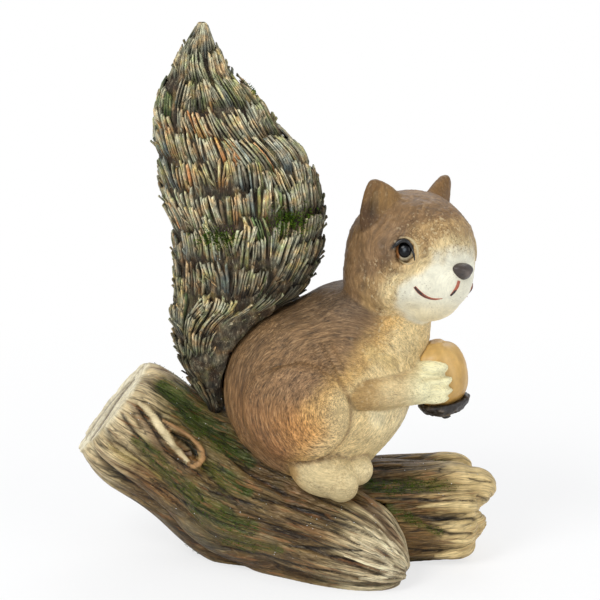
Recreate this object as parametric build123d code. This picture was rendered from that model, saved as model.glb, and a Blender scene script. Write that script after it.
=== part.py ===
from build123d import *
import os
from math import cos, degrees, pi, sin

import numpy as np

# A squirrel holding a nut, sitting on a forked log with a torn foot and a stout side branch.
# +X runs to the branch's end, -Y to the front and +Z up. The origin is on the flat underside.
# Lengths are millimetres and angles degrees. A table's shares are of the sizes it names.

# Log: the trunk comes down from a sawn end at the back left to a torn foot at the front right
TRUNK_LENGTH = 121.5
TRUNK_LEFT = 78.5
TRUNK_SWING = 40.0
TRUNK_BACK = 3.0
TRUNK_RISE = 64.0
TRUNK_RADIUS = 29.0
TRUNK_WIDTH_SHARE = 0.92
# Along TRUNK_LENGTH, back by TRUNK_SWING, up by TRUNK_RISE, radius by TRUNK_RADIUS
TRUNK_RING_SHARES = [
    (0.000, 0.34, 0.975, 0.79),
    (0.015, 0.34, 0.952, 0.84),
    (0.170, 0.31, 0.742, 0.90),
    (0.300, 0.25, 0.590, 0.94),
    (0.420, 0.14, 0.422, 0.98),
    (0.576, -0.06, 0.315, 0.93),
    (0.746, -0.40, 0.240, 0.80),
    (0.872, -0.64, 0.180, 0.69),
    (0.955, -0.76, 0.115, 0.45),
    (1.000, -0.76, 0.070, 0.17),
]
BARK_DEPTH_SHARE = 0.045
BARK_TWIST = 0.5
# Each ridge of bark: its share of the way round, and its depth by BARK_DEPTH_SHARE
BARK_RIDGE_SHARES = [
    (0.11, 1.0),
    (0.08, 0.7),
    (0.13, 1.3),
    (0.09, 0.8),
    (0.12, 1.1),
    (0.07, 0.6),
    (0.11, 1.2),
    (0.10, 0.9),
    (0.12, 1.3),
    (0.07, 0.8),
]
# Across one ridge from its groove: how far along, and how far out by the ridge's depth
BARK_CROSS_SHARES = [
    (0.00, -1.5),
    (0.22, 0.4),
    (0.50, 1.0),
    (0.78, 0.4),
]

# Knot: a hollow in a raised lip, drawn out along the grain
KNOT_PLACE_SHARE = 0.224
KNOT_REACH_SHARE = 0.045
KNOT_CLIMB = 22.0
KNOT_LENGTH = 21.0
KNOT_WIDTH = 14.0
KNOT_LIP = 4.6
KNOT_DEPTH = 7.0
KNOT_SPREAD_SHARE = 0.36

# Branch: it leaves the trunk below the squirrel and ends in three torn lobes
BRANCH_LENGTH = 80.0
BRANCH_SWING = 16.0
BRANCH_RADIUS = 23.0
# Along BRANCH_LENGTH, back by BRANCH_SWING, centre up and radius by BRANCH_RADIUS
BRANCH_RING_SHARES = [
    (-0.05, 0.30, 0.85, 0.86),
    (0.250, 0.42, 0.86, 0.93),
    (0.500, 0.54, 0.87, 0.97),
    (0.720, 0.66, 0.87, 0.98),
    (0.850, 0.72, 0.87, 0.94),
    (0.905, 0.74, 0.87, 0.80),
]
LOBE_LENGTH = 20.0
LOBE_THICKNESS = 17.0
# Along BRANCH_LENGTH, aside and up by BRANCH_RADIUS, and the lobe's own size
LOBE_SHARES = [
    (0.900, -0.28, 1.36, 1.04),
    (0.860, -0.46, 0.72, 0.94),
    (0.850, 0.42, 1.00, 1.10),
]

# Body: torso with both haunches and upper arms, sunk in a seat in the log
BODY_LENGTH = 83.0
BODY_WIDTH = 60.0
BODY_HEIGHT = 91.0
BODY_TURN = 10.0
BODY_SEAT_SHARE = 0.706
BODY_SINK = 11.0
BODY_SET_BACK = 11.0
# Up by BODY_HEIGHT, forward and half length by BODY_LENGTH, half width by BODY_WIDTH
TORSO_RING_SHARES = [
    (0.000, 0.00, 0.130, 0.17),
    (0.095, -0.02, 0.225, 0.28),
    (0.190, -0.03, 0.315, 0.37),
    (0.290, -0.02, 0.395, 0.45),
    (0.385, -0.01, 0.450, 0.49),
    (0.480, 0.00, 0.472, 0.50),
    (0.575, 0.02, 0.486, 0.49),
    (0.670, 0.05, 0.492, 0.46),
    (0.765, 0.09, 0.470, 0.42),
    (0.860, 0.16, 0.400, 0.37),
    (0.935, 0.24, 0.310, 0.32),
    (1.000, 0.31, 0.225, 0.26),
]
HAUNCH_LENGTH = 49.0
HAUNCH_HEIGHT = 47.0
HAUNCH_THICKNESS = 29.0
HAUNCH_PLACE_SHARES = (-0.035, 0.355, 0.480)
UPPER_ARM_LENGTH = 40.0
UPPER_ARM_THICKNESS = 19.0
UPPER_ARM_PLACE_SHARES = (0.185, 0.325, 0.640)
UPPER_ARM_TILT = 12.0
THROAT_LENGTH = 38.0
THROAT_WIDTH = 31.0
THROAT_HEIGHT = 38.0
THROAT_PLACE_SHARES = (0.335, 0.0, 0.850)

# Head: skull, muzzle, cheeks and chin in one casting, turned further to the front
HEAD_LENGTH = 52.0
HEAD_WIDTH = 54.0
HEAD_HEIGHT = 52.0
HEAD_TURN = 32.0
HEAD_TILT = 9.0
HEAD_FORWARD_SHARE = 0.460
HEAD_LIFT_SHARE = 0.27
# Forward, aside and up, then length, width and height, all by the head's own sizes
HEAD_LUMP_SHARES = [
    (0.00, 0.00, 0.000, 1.00, 1.01, 1.00),
    (0.27, 0.00, -0.165, 0.57, 0.58, 0.47),
    (0.18, 0.21, -0.160, 0.46, 0.42, 0.48),
    (0.18, -0.21, -0.160, 0.46, 0.42, 0.48),
    (0.19, 0.00, -0.290, 0.56, 0.54, 0.42),
    (-0.05, 0.24, -0.170, 0.70, 0.50, 0.60),
    (-0.05, -0.24, -0.170, 0.70, 0.50, 0.60),
]

# Ears: cupped leaves glued in shallow seats on the crown
EAR_HEIGHT = 20.0
EAR_WIDTH = 22.0
EAR_THICKNESS = 9.5
EAR_OUTWARD = 14.0
EAR_SPLAY = 27.0
EAR_LEAN = 6.0
EAR_PLACE_SHARES = (-0.06, 0.275, 0.25)
EAR_RING_SHARES = [
    (0.00, 0.92, 1.00),
    (0.25, 1.00, 1.00),
    (0.50, 0.82, 0.86),
    (0.75, 0.54, 0.66),
    (0.93, 0.26, 0.42),
    (1.00, 0.10, 0.20),
]
EAR_HOLLOW_SHARE = 0.62

# Eyes and nose: glossy beads in sockets, and a button on the muzzle
EYE_RADIUS = 4.7
EYE_PROUD = 1.7
EYE_PLACE_SHARES = (0.232, 0.372, 0.080)
NOSE_WIDTH = 11.4
NOSE_HEIGHT = 7.4
NOSE_DEPTH = 9.0
NOSE_PLACE_SHARES = (0.590, -0.054)

# Tail: rows of upward scales, each tucked behind the one below
TAIL_HEIGHT = 161.0
TAIL_WIDTH = 66.0
TAIL_DEPTH = 40.0
TAIL_BACK = 45.5
TAIL_LOW_SHARE = 0.400
TAIL_ROWS = 14
TAIL_STEP = 1.9
TAIL_TUCK_SHARE = 0.45
TAIL_TUFTS = 17
TAIL_TUFT_SHARE = 0.030
# Up by TAIL_HEIGHT, forward, half width and half depth by TAIL_WIDTH and TAIL_DEPTH
TAIL_RING_SHARES = [
    (0.000, 0.070, 0.140, 0.18),
    (0.047, 0.055, 0.160, 0.23),
    (0.100, 0.040, 0.212, 0.30),
    (0.151, 0.043, 0.258, 0.36),
    (0.202, 0.075, 0.322, 0.41),
    (0.254, 0.117, 0.375, 0.45),
    (0.330, 0.195, 0.429, 0.48),
    (0.409, 0.238, 0.463, 0.50),
    (0.513, 0.238, 0.495, 0.51),
    (0.565, 0.206, 0.512, 0.51),
    (0.616, 0.169, 0.495, 0.49),
    (0.668, 0.146, 0.487, 0.46),
    (0.720, 0.066, 0.424, 0.42),
    (0.771, 0.008, 0.357, 0.38),
    (0.823, -0.010, 0.300, 0.34),
    (0.875, -0.046, 0.195, 0.27),
    (0.927, -0.053, 0.120, 0.19),
    (0.979, -0.034, 0.072, 0.11),
    (1.000, -0.020, 0.038, 0.05),
]

# Hind feet: a pad with three toes
FOOT_LENGTH = 29.0
FOOT_WIDTH = 17.0
FOOT_HEIGHT = 19.0
FOOT_PLACE_SHARES = (0.080, 0.375, 0.180)
FOOT_DROOP = 14.0
FAR_FOOT_BACK = 7.0
TOE_LENGTH = 14.0
TOE_THICKNESS = 11.0
# Forward, aside and up by the foot's own sizes
TOE_SHARES = [
    (0.28, -0.22, -0.06),
    (0.40, 0.36, 0.20),
]

# Forearms with paws: they close on the nut from both sides
FOREARM_RADIUS = 8.6
WRIST_RADIUS = 7.6
ELBOW_PLACE_SHARES = (0.250, 0.325, 0.568)
WRIST_PLACE_SHARES = (0.520, 0.185, 0.570)
PAW_LENGTH = 18.0
PAW_WIDTH = 13.0
PAW_HEIGHT = 16.0
PAW_FORWARD = 5.0
PAW_LIFT = 1.0
PAW_ASIDE_SHARE = 0.78
FINGER_LENGTH = 14.0
FINGER_THICKNESS = 6.0
# Forward, aside and up by the paw's own sizes
FINGER_SHARES = [
    (0.20, -0.02, 0.49),
    (0.30, -0.02, 0.18),
    (0.30, -0.02, -0.10),
    (0.22, -0.02, -0.34),
]

# Nut: an acorn standing on its cup, leaning towards the mouth
NUT_RADIUS = 12.0
NUT_LENGTH = 28.0
NUT_LEAN = 12.0
NUT_PLACE_SHARES = (0.605, 0.0, 0.600)
# Out by NUT_RADIUS and up by NUT_LENGTH
NUT_PROFILE_SHARES = [
    (0.00, -0.50),
    (0.45, -0.46),
    (0.80, -0.32),
    (0.98, -0.10),
    (1.00, 0.08),
    (0.92, 0.26),
    (0.72, 0.40),
    (0.38, 0.48),
    (0.00, 0.50),
]
CUP_RADIUS = 10.6
CUP_HEIGHT = 6.0
CUP_DROP_SHARE = 0.78
CUP_STALK_RADIUS = 1.7
CUP_STALK_LENGTH = 3.0

# Steel pins that carry the glued castings, each in a drilled seat
PIN_RADIUS = 2.0
PIN_CLEARANCE = 0.1
TAIL_PIN_LENGTH = 30.0
TAIL_PIN_SHARE = 0.60
SEAT_PIN_LENGTH = 34.0
SEAT_PIN_SPACING = 18.0
BRANCH_PIN_LENGTH = 32.0
BRANCH_PIN_SHARE = 0.30

OVERRUN = 400.0


# Trunk and branch
def spine_place(shares, table, sizes):
    """The centre and radius at a share of a tapering limb's length."""
    columns = list(zip(*table))
    return [float(np.interp(shares, columns[0], columns[k])) * sizes[k] for k in range(4)]


def trunk_place(share):
    """The trunk's centre and radius at a share of its length."""
    sizes = (TRUNK_LENGTH, TRUNK_SWING, TRUNK_RISE, TRUNK_RADIUS)
    x, y, z, radius = spine_place(share, TRUNK_RING_SHARES, sizes)
    return Vector(x - TRUNK_LEFT, y + TRUNK_BACK, z), radius


def branch_place(share):
    """The branch's centre and radius at a share of its length."""
    sizes = (BRANCH_LENGTH, BRANCH_SWING, BRANCH_RADIUS, BRANCH_RADIUS)
    x, y, z, radius = spine_place(share, BRANCH_RING_SHARES, sizes)
    return Vector(x, y, z), radius


def bark_outline(half_width, half_height, phase):
    """A closed smooth outline of rounded ridges with narrow grooves between them, like old bark."""
    places = []
    start = 0.0
    for width, depth in BARK_RIDGE_SHARES:
        for along, out in BARK_CROSS_SHARES:
            turn = 2 * pi * (start + along * width) + phase
            swell = 1 + BARK_DEPTH_SHARE * depth * out
            places.append((half_width * swell * cos(turn), half_height * swell * sin(turn)))
        start += width
    return make_face(Spline(*places, periodic=True))


def limb(place, table, width_share):
    """A fluted loft through a limb's rings, each square to the way that the limb runs."""
    shares = [row[0] for row in table]
    centres = [place(share)[0] for share in shares]
    rings = []
    for index, share in enumerate(shares):
        before = centres[max(index - 1, 0)]
        after = centres[min(index + 1, len(centres) - 1)]
        along = (after - before).normalized()
        aside = Vector(0, 0, 1).cross(along).normalized()
        radius = place(share)[1]
        plane = Plane(origin=centres[index], x_dir=aside, z_dir=along)
        rings.append(plane * bark_outline(radius * width_share, radius, share * BARK_TWIST))
    return loft(rings)


def egg(length, width, height):
    """An ellipsoid with these full sizes, centred on the origin."""
    return scale(Sphere(0.5), by=(length, width, height))


def knot_plane():
    """The knot's frame on the trunk's front: x along the grain, z out of the bark."""
    centre, radius = trunk_place(KNOT_PLACE_SHARE)
    ahead = trunk_place(KNOT_PLACE_SHARE + KNOT_REACH_SHARE)[0]
    along = (ahead - centre).normalized()
    aside = Vector(0, 0, 1).cross(along).normalized()
    out = (aside * -1).rotate(Axis((0, 0, 0), tuple(along)), -KNOT_CLIMB)
    return Plane(origin=centre + out * radius * TRUNK_WIDTH_SHARE, x_dir=along, z_dir=out)


def make_trunk():
    """The main casting: fluted trunk, knot, and a flat underside to stand on."""
    trunk = limb(trunk_place, TRUNK_RING_SHARES, TRUNK_WIDTH_SHARE)
    plane = knot_plane()
    lip = plane * Pos(-KNOT_LENGTH * KNOT_SPREAD_SHARE / 2, 0, 0) * egg(
        KNOT_LENGTH * (1 + KNOT_SPREAD_SHARE) + KNOT_LIP, KNOT_WIDTH + KNOT_LIP, KNOT_LIP * 2
    )
    hollow = plane * egg(KNOT_LENGTH * KNOT_SPREAD_SHARE * 2, KNOT_WIDTH - KNOT_LIP, KNOT_DEPTH * 2)
    return above_floor(trunk + lip - hollow)


def make_branch():
    """The side branch with its torn lobes, flat below."""
    branch = limb(branch_place, BRANCH_RING_SHARES, 1)
    for along, aside, up, size in LOBE_SHARES:
        centre = branch_place(along)[0]
        lobe = egg(LOBE_LENGTH * size, LOBE_THICKNESS * size, LOBE_THICKNESS * size)
        place = (centre.X, centre.Y + aside * BRANCH_RADIUS, up * BRANCH_RADIUS)
        branch += Pos(*place) * lobe
    return above_floor(branch)


def above_floor(shape):
    """The shape cut flat at the height of the floor."""
    block = Box(OVERRUN, OVERRUN, OVERRUN, align=(Align.CENTER, Align.CENTER, Align.MIN))
    return shape & block


# Frames of the squirrel's pieces
def body_frame():
    """The body's own frame: x forward, y to its left, z up, at the foot of the torso."""
    centre, radius = trunk_place(BODY_SEAT_SHARE)
    seat = (centre.X, centre.Y + BODY_SET_BACK, centre.Z + radius - BODY_SINK)
    return Pos(*seat) * Rot(0, 0, -BODY_TURN)


def head_frame():
    """The head's own frame, at the middle of the skull."""
    lift = BODY_HEIGHT + HEAD_HEIGHT * HEAD_LIFT_SHARE
    place = Pos(BODY_LENGTH * HEAD_FORWARD_SHARE, 0, lift)
    return body_frame() * place * Rot(0, 0, -HEAD_TURN) * Rot(-HEAD_TILT, 0, 0)


def on_body(shares, side=1):
    """A place on the body from shares of its length, width and height."""
    forward, aside, up = shares
    return Pos(forward * BODY_LENGTH, side * aside * BODY_WIDTH, up * BODY_HEIGHT)


def on_head(shares, side=1):
    """A place on the head from shares of its length, width and height."""
    forward, aside, up = shares
    return Pos(forward * HEAD_LENGTH, side * aside * HEAD_WIDTH, up * HEAD_HEIGHT)


# Squirrel
def make_body():
    """Torso, haunches, upper arms and throat as one casting."""
    rings = []
    for up, forward, half_length, half_width in TORSO_RING_SHARES:
        ring = Ellipse(half_length * BODY_LENGTH, half_width * BODY_WIDTH)
        rings.append(Pos(forward * BODY_LENGTH, 0, up * BODY_HEIGHT) * ring)
    body = loft(rings)
    body += on_body(THROAT_PLACE_SHARES) * egg(THROAT_LENGTH, THROAT_WIDTH, THROAT_HEIGHT)
    for side in (-1, 1):
        haunch = egg(HAUNCH_LENGTH, HAUNCH_THICKNESS, HAUNCH_HEIGHT)
        body += on_body(HAUNCH_PLACE_SHARES, side) * haunch
        arm = egg(UPPER_ARM_THICKNESS, UPPER_ARM_THICKNESS, UPPER_ARM_LENGTH)
        body += on_body(UPPER_ARM_PLACE_SHARES, side) * Rot(0, UPPER_ARM_TILT, 0) * arm
    return body_frame() * body


def make_head():
    """Skull, muzzle, cheeks and chin."""
    head = None
    for forward, aside, up, length, width, height in HEAD_LUMP_SHARES:
        lump = egg(length * HEAD_LENGTH, width * HEAD_WIDTH, height * HEAD_HEIGHT)
        lump = on_head((forward, aside, up)) * lump
        head = lump if head is None else head + lump
    return head_frame() * head


def make_ear(side):
    """A pointed, cupped ear that opens forward and a little outward."""
    rings = []
    for up, width, thickness in EAR_RING_SHARES:
        ring = Ellipse(thickness * EAR_THICKNESS / 2, width * EAR_WIDTH / 2)
        rings.append(Pos(0, 0, up * EAR_HEIGHT) * ring)
    hollow = egg(EAR_THICKNESS, EAR_WIDTH * EAR_HOLLOW_SHARE, EAR_HEIGHT)
    ear = loft(rings) - Pos(EAR_THICKNESS / 2, 0, EAR_HEIGHT / 2) * hollow
    turned = Rot(EAR_LEAN - side * EAR_SPLAY, 0, side * EAR_OUTWARD) * ear
    return head_frame() * on_head(EAR_PLACE_SHARES, side) * turned


def make_eye(side):
    """A round bead, most of it inside the head."""
    forward, aside, up = EYE_PLACE_SHARES
    out = Vector(forward * HEAD_LENGTH, side * aside * HEAD_WIDTH, up * HEAD_HEIGHT)
    centre = out - out.normalized() * (EYE_RADIUS - EYE_PROUD)
    return head_frame() * Pos(*centre) * Sphere(EYE_RADIUS)


def make_nose():
    """The nose button, wider than it is high."""
    forward, up = NOSE_PLACE_SHARES
    place = on_head((forward, 0, up)) * Pos(-NOSE_DEPTH / 2, 0, 0)
    return head_frame() * place * egg(NOSE_DEPTH, NOSE_WIDTH, NOSE_HEIGHT)


def tail_outline(share, narrower, row):
    """The tail's outline at a share of its height, drawn in by a length and tufted."""
    columns = list(zip(*TAIL_RING_SHARES))
    forward, half_width, half_depth = (np.interp(share, columns[0], c) for c in columns[1:])
    half_width = max(half_width * TAIL_WIDTH - narrower, TAIL_STEP / 2)
    half_depth = max(half_depth * TAIL_DEPTH - narrower, TAIL_STEP / 2)
    places = []
    for step in range(2 * TAIL_TUFTS):
        turn = pi * (step + row % 2 / 2) / TAIL_TUFTS
        swell = 1 + TAIL_TUFT_SHARE * (-1) ** step
        places.append((half_width * swell * cos(turn), half_depth * swell * sin(turn)))
    place = Pos(float(forward) * TAIL_WIDTH, 0, share * TAIL_HEIGHT)
    return place * make_face(Spline(*places, periodic=True))


def make_tail():
    """Rows of tufted scales, each widening upward to a ledge."""
    tail = None
    for row in range(TAIL_ROWS):
        low = max(row - TAIL_TUCK_SHARE, 0) / TAIL_ROWS
        middle = (row + TAIL_TUCK_SHARE) / TAIL_ROWS
        high = (row + 1) / TAIL_ROWS
        rings = [
            tail_outline(low, TAIL_STEP, row),
            tail_outline(middle, TAIL_STEP * TAIL_TUCK_SHARE, row),
            tail_outline(high, 0, row),
        ]
        scales = loft(rings)
        tail = scales if tail is None else tail + scales
    place = Pos(-TAIL_BACK, 0, TAIL_LOW_SHARE * BODY_HEIGHT)
    return body_frame() * place * tail


def make_foot(side):
    """A hind foot: pad and two toes. The far foot sits a little further back."""
    foot = egg(FOOT_LENGTH, FOOT_WIDTH, FOOT_HEIGHT)
    for forward, aside, up in TOE_SHARES:
        toe = egg(TOE_LENGTH, TOE_THICKNESS, TOE_LENGTH)
        foot += Pos(forward * FOOT_LENGTH, -side * aside * FOOT_WIDTH, up * FOOT_HEIGHT) * toe
    back = FAR_FOOT_BACK if side > 0 else 0
    place = on_body(FOOT_PLACE_SHARES, side) * Rot(0, FOOT_DROOP, 0)
    return body_frame() * Pos(-back, 0, 0) * place * foot


def between(start, end, start_radius, end_radius):
    """A tapering limb with round ends from one place to another."""
    along = end - start
    cone = Solid.make_cone(
        start_radius, end_radius, along.length, Plane(origin=start, z_dir=along)
    )
    return cone + Pos(*start) * Sphere(start_radius) + Pos(*end) * Sphere(end_radius)


def make_forearm(side):
    """A forearm and its paw, with four fingers laid round the nut."""
    elbow = on_body(ELBOW_PLACE_SHARES, side).position
    wrist = on_body(WRIST_PLACE_SHARES, side).position
    arm = between(elbow, wrist, FOREARM_RADIUS, WRIST_RADIUS)
    nut = on_body(NUT_PLACE_SHARES).position
    aside = side * NUT_RADIUS * PAW_ASIDE_SHARE
    paw = Pos(nut.X - PAW_FORWARD, aside, wrist.Z + PAW_LIFT)
    arm += paw * egg(PAW_LENGTH, PAW_WIDTH, PAW_HEIGHT)
    for forward, inward, up in FINGER_SHARES:
        finger = egg(FINGER_LENGTH, PAW_WIDTH, FINGER_THICKNESS)
        place = Pos(forward * PAW_LENGTH, side * inward * PAW_WIDTH, up * PAW_HEIGHT)
        arm += paw * place * finger
    return body_frame() * arm


def nut_frame():
    """The nut's own frame, at its middle, z towards its tip."""
    return body_frame() * on_body(NUT_PLACE_SHARES) * Rot(0, -NUT_LEAN, 0)


def make_nut():
    """The acorn's kernel, turned from its profile in two halves."""
    places = [(out * NUT_RADIUS, 0, up * NUT_LENGTH) for out, up in NUT_PROFILE_SHARES]
    profile = Spline(*places, tangents=((1, 0, 0), (-1, 0, 0)))
    half = make_face([profile, Line(places[-1], places[0])])
    nut = revolve(half, Axis.Z, 180)
    return nut_frame() * (nut + Rot(0, 0, 180) * nut)


def make_cup():
    """The acorn's rough cup with a stub of stalk."""
    bowl = egg(CUP_RADIUS * 2, CUP_RADIUS * 2, CUP_HEIGHT * 2)
    room = Box(OVERRUN, OVERRUN, OVERRUN, align=(Align.CENTER, Align.CENTER, Align.MAX))
    cup = (bowl & room) + Pos(0, 0, -CUP_HEIGHT) * Cylinder(CUP_STALK_RADIUS, CUP_STALK_LENGTH)
    return nut_frame() * Pos(0, 0, -CUP_DROP_SHARE * NUT_LENGTH / 2) * cup


# Pins
def drilled(shape, pins):
    """The shape with a seat for each pin, wider than the pin by the clearance."""
    for place, length in pins:
        shape -= place * Cylinder(PIN_RADIUS + PIN_CLEARANCE, length + 2 * PIN_CLEARANCE)
    return shape


def pin(place, length):
    """A plain steel pin, centred on its place."""
    return place * Cylinder(PIN_RADIUS, length)


def pin_places():
    """Where each pin lies, and its length: tail, seat and branch."""
    rump = -BODY_LENGTH * TORSO_RING_SHARES[5][2]
    tail = Pos(rump, 0, TAIL_PIN_SHARE * BODY_HEIGHT) * Rot(0, 90, 0)
    seats = []
    for side in (-1, 1):
        seats.append((body_frame() * Pos(side * SEAT_PIN_SPACING / 2, 0, 0), SEAT_PIN_LENGTH))
    root = branch_place(BRANCH_PIN_SHARE)[0]
    branch = Pos(*root) * Rot(0, 90, 0)
    return {
        "tail": [(body_frame() * tail, TAIL_PIN_LENGTH)],
        "seat": seats,
        "branch": [(branch, BRANCH_PIN_LENGTH)],
    }


def cut_by(shape, *others):
    """The shape less every piece that it is glued against, as its one largest solid."""
    for other in others:
        shape -= other
    return max(shape.solids(), key=lambda solid: solid.volume)


def make_parts():
    """Every node of the figurine, by name. A later piece is cut to fit the earlier ones."""
    pins = pin_places()
    trunk = make_trunk()
    branch = cut_by(make_branch(), trunk)
    body = cut_by(make_body(), trunk, branch)
    nut = cut_by(make_nut(), body)
    cup = cut_by(make_cup(), nut, body)
    parts = {
        "nut": nut,
        "nut_cup": cup,
        "tail": drilled(cut_by(make_tail(), body, trunk), pins["tail"]),
        "tail_pin": pin(*pins["tail"][0]),
        "seat_pins": Compound(children=[pin(*place) for place in pins["seat"]]),
        "branch_pin": pin(*pins["branch"][0]),
    }
    for name, side in (("right", -1), ("left", 1)):
        parts[name + "_foot"] = cut_by(make_foot(side), trunk, branch, body)
        parts[name + "_forearm"] = cut_by(make_forearm(side), body, nut, cup)
    head = make_head()
    for name, side in (("right", -1), ("left", 1)):
        parts[name + "_ear"] = cut_by(make_ear(side), head)
        parts[name + "_eye"] = make_eye(side)
    parts["nose"] = cut_by(make_nose(), head)
    parts["head"] = cut_by(head, body, parts["right_eye"], parts["left_eye"])
    parts["trunk"] = drilled(trunk, pins["seat"] + pins["branch"])
    parts["branch"] = drilled(branch, pins["seat"] + pins["branch"])
    parts["body"] = drilled(body, pins["seat"] + pins["tail"])
    return parts


os.makedirs("parts", exist_ok=True)
for node, shape in make_parts().items():
    export_step(shape, os.path.join("parts", node + ".step"))
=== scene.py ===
"""Looks for the cast squirrel on its log. Working lengths are millimetres in the frame's axes."""

import itertools
import math

import bpy
import numpy as np
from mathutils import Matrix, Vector
from mathutils.bvhtree import BVHTree


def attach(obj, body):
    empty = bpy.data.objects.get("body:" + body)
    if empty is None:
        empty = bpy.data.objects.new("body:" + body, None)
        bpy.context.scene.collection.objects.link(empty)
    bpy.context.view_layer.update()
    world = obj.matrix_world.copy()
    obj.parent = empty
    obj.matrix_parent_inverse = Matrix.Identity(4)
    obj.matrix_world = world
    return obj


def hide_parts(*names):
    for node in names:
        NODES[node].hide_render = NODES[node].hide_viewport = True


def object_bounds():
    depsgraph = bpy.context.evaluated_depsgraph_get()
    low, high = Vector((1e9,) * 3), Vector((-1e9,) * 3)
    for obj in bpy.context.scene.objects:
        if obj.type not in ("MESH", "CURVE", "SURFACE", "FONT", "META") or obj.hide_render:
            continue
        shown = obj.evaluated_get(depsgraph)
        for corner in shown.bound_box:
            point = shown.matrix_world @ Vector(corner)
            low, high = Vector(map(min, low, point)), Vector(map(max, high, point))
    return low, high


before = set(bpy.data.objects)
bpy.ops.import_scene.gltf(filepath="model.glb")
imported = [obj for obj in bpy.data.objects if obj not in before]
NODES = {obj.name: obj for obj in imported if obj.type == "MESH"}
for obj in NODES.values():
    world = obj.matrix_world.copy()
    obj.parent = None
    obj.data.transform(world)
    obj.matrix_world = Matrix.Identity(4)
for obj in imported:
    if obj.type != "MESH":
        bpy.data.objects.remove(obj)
cad_box = [[float(x) for x in corner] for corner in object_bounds()]
LOW = np.array(cad_box[0]) * 1000
HIGH = np.array(cad_box[1]) * 1000
MM = 0.001
rng = np.random.default_rng(11)

# The photograph's camera. MIDDLE is the middle of the picture, both ways, in pixels.
AIM = np.array([0.0, 0.0, 113.7])
DISTANCE = 1100.0
ELEVATION = math.radians(15)
PIXEL = 0.41
MIDDLE = 300
RIGHT = np.array([1.0, 0, 0])
AHEAD = np.array([0, math.cos(ELEVATION), -math.sin(ELEVATION)])
TOP = np.array([0, math.sin(ELEVATION), math.cos(ELEVATION)])
TOWARDS = -AHEAD
EYE = AIM - AHEAD * DISTANCE

# Frames of the body and the head: forward, left and up as rows
BODY_AT = np.array([7.9, 1.2, 29.6])
BODY_TURN = math.radians(10)
HEAD_AT = np.array([45.5, -5.4, 134.6])
HEAD_TURN = math.radians(42)
HEAD_TILT = math.radians(9)


def frame_rows(turn, tilt):
    """Forward, left and up for a piece turned to the front and tilted to its left."""
    forward = np.array([math.cos(turn), -math.sin(turn), 0.0])
    level = np.array([math.sin(turn), math.cos(turn), 0.0])
    up = np.array([0.0, 0.0, 1.0])
    left = level * math.cos(tilt) - up * math.sin(tilt)
    top = level * math.sin(tilt) + up * math.cos(tilt)
    return np.array([forward, left, top])


BODY = frame_rows(BODY_TURN, 0)
HEAD = frame_rows(HEAD_TURN, HEAD_TILT)


def to_body(places):
    return (places - BODY_AT) @ BODY.T


def to_head(places):
    return (places - HEAD_AT) @ HEAD.T


def from_body(places):
    return np.asarray(places) @ BODY + BODY_AT


def from_head(places):
    return np.asarray(places) @ HEAD + HEAD_AT


# Numbers
def unit(line):
    return line / np.linalg.norm(line)


def step(low, high, value):
    t = np.clip((value - low) / (high - low), 0, 1)
    return t * t * (3 - 2 * t)


def mix(a, b, t):
    t = np.asarray(t)[..., None]
    return np.asarray(a) * (1 - t) + np.asarray(b) * t


def coats(paint, *layers):
    """Paint under several coats, each a colour and how far it covers."""
    for colour, amount in layers:
        paint = mix(paint, colour, amount)
    return paint


def blob(*terms):
    """A soft spot: 1 where each value is at its centre, fading over its size."""
    return np.exp(-sum(((value - centre) / size) ** 2 for value, centre, size in terms))


def noise(places, seed=0):
    """Smooth value noise from -1 to 1, one cell a unit."""
    cell = np.floor(places).astype(np.int64)
    part = places - cell
    part = part * part * (3 - 2 * part)
    total = np.zeros(len(places))
    for corner in itertools.product((0, 1), repeat=3):
        c = cell + corner
        h = (c[:, 0] * 73856093) ^ (c[:, 1] * 19349663) ^ (c[:, 2] * 83492791) ^ (seed * 7919 + 101)
        h = (h ^ (h >> 13)) * 1274126177 & 0xFFFFFFFF
        h = (h ^ (h >> 16)) & 0xFFFF
        weight = np.prod(np.where(np.array(corner) == 1, part, 1 - part), axis=1)
        total += weight * (h / 32767.5 - 1)
    return total


def rough(places, octaves, seed=0):
    """Noise with finer octaves added."""
    total = np.zeros(len(places))
    size = 1.0
    for octave in range(octaves):
        total += size * noise(places * 2.03**octave, seed + octave)
        size *= 0.5
    return total


def ridged(places, seed=0):
    """Sharp crests between rounded troughs, from 0 to 1."""
    return 1 - np.abs(noise(places, seed))


def cracks(spots, seed, sharp):
    """Broad rounded ridges between narrow troughs, from 0 in a trough to 1."""
    return 1 - np.exp(-((np.abs(noise(spots, seed)) / sharp) ** 1.4))


# Pixels of the photograph
def on_photo(places):
    """Where places show in the photograph, in its pixels."""
    off = places - AIM
    size = DISTANCE / (off @ AHEAD + DISTANCE) / PIXEL
    return np.stack([MIDDLE + off[:, 0] * size, MIDDLE - (off @ TOP) * size], axis=1)


def sight(x, y):
    """The direction in which the camera sees a pixel."""
    return unit(AHEAD + (RIGHT * (x - MIDDLE) + TOP * (MIDDLE - y)) * PIXEL / DISTANCE)


def pixel_on(tree, x, y):
    """The place and normal where a pixel meets a surface."""
    place, normal, _, _ = tree.ray_cast(Vector(EYE), Vector(sight(x, y)), 3000)
    return None if place is None else (np.array(place), np.array(normal))


def stroke(spots, line, halves):
    """How far flat spots lie from a brushed line, as a share of its half width there."""
    best = np.full(len(spots), 1e9)
    for a, b, wide, narrow in zip(line[:-1], line[1:], halves[:-1], halves[1:]):
        a, b = np.array(a, dtype=float), np.array(b, dtype=float)
        d = b - a
        t = np.clip(((spots - a) @ d) / (d @ d), 0, 1)
        gap = np.linalg.norm(spots - a - t[:, None] * d, axis=1)
        best = np.minimum(best, gap / (wide + (narrow - wide) * t))
    return best


def strokes_on(spots, lines):
    """The nearest of several brushed lines, as a share of its half width."""
    return np.min([stroke(spots, *line) for line in lines], axis=0)


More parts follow.
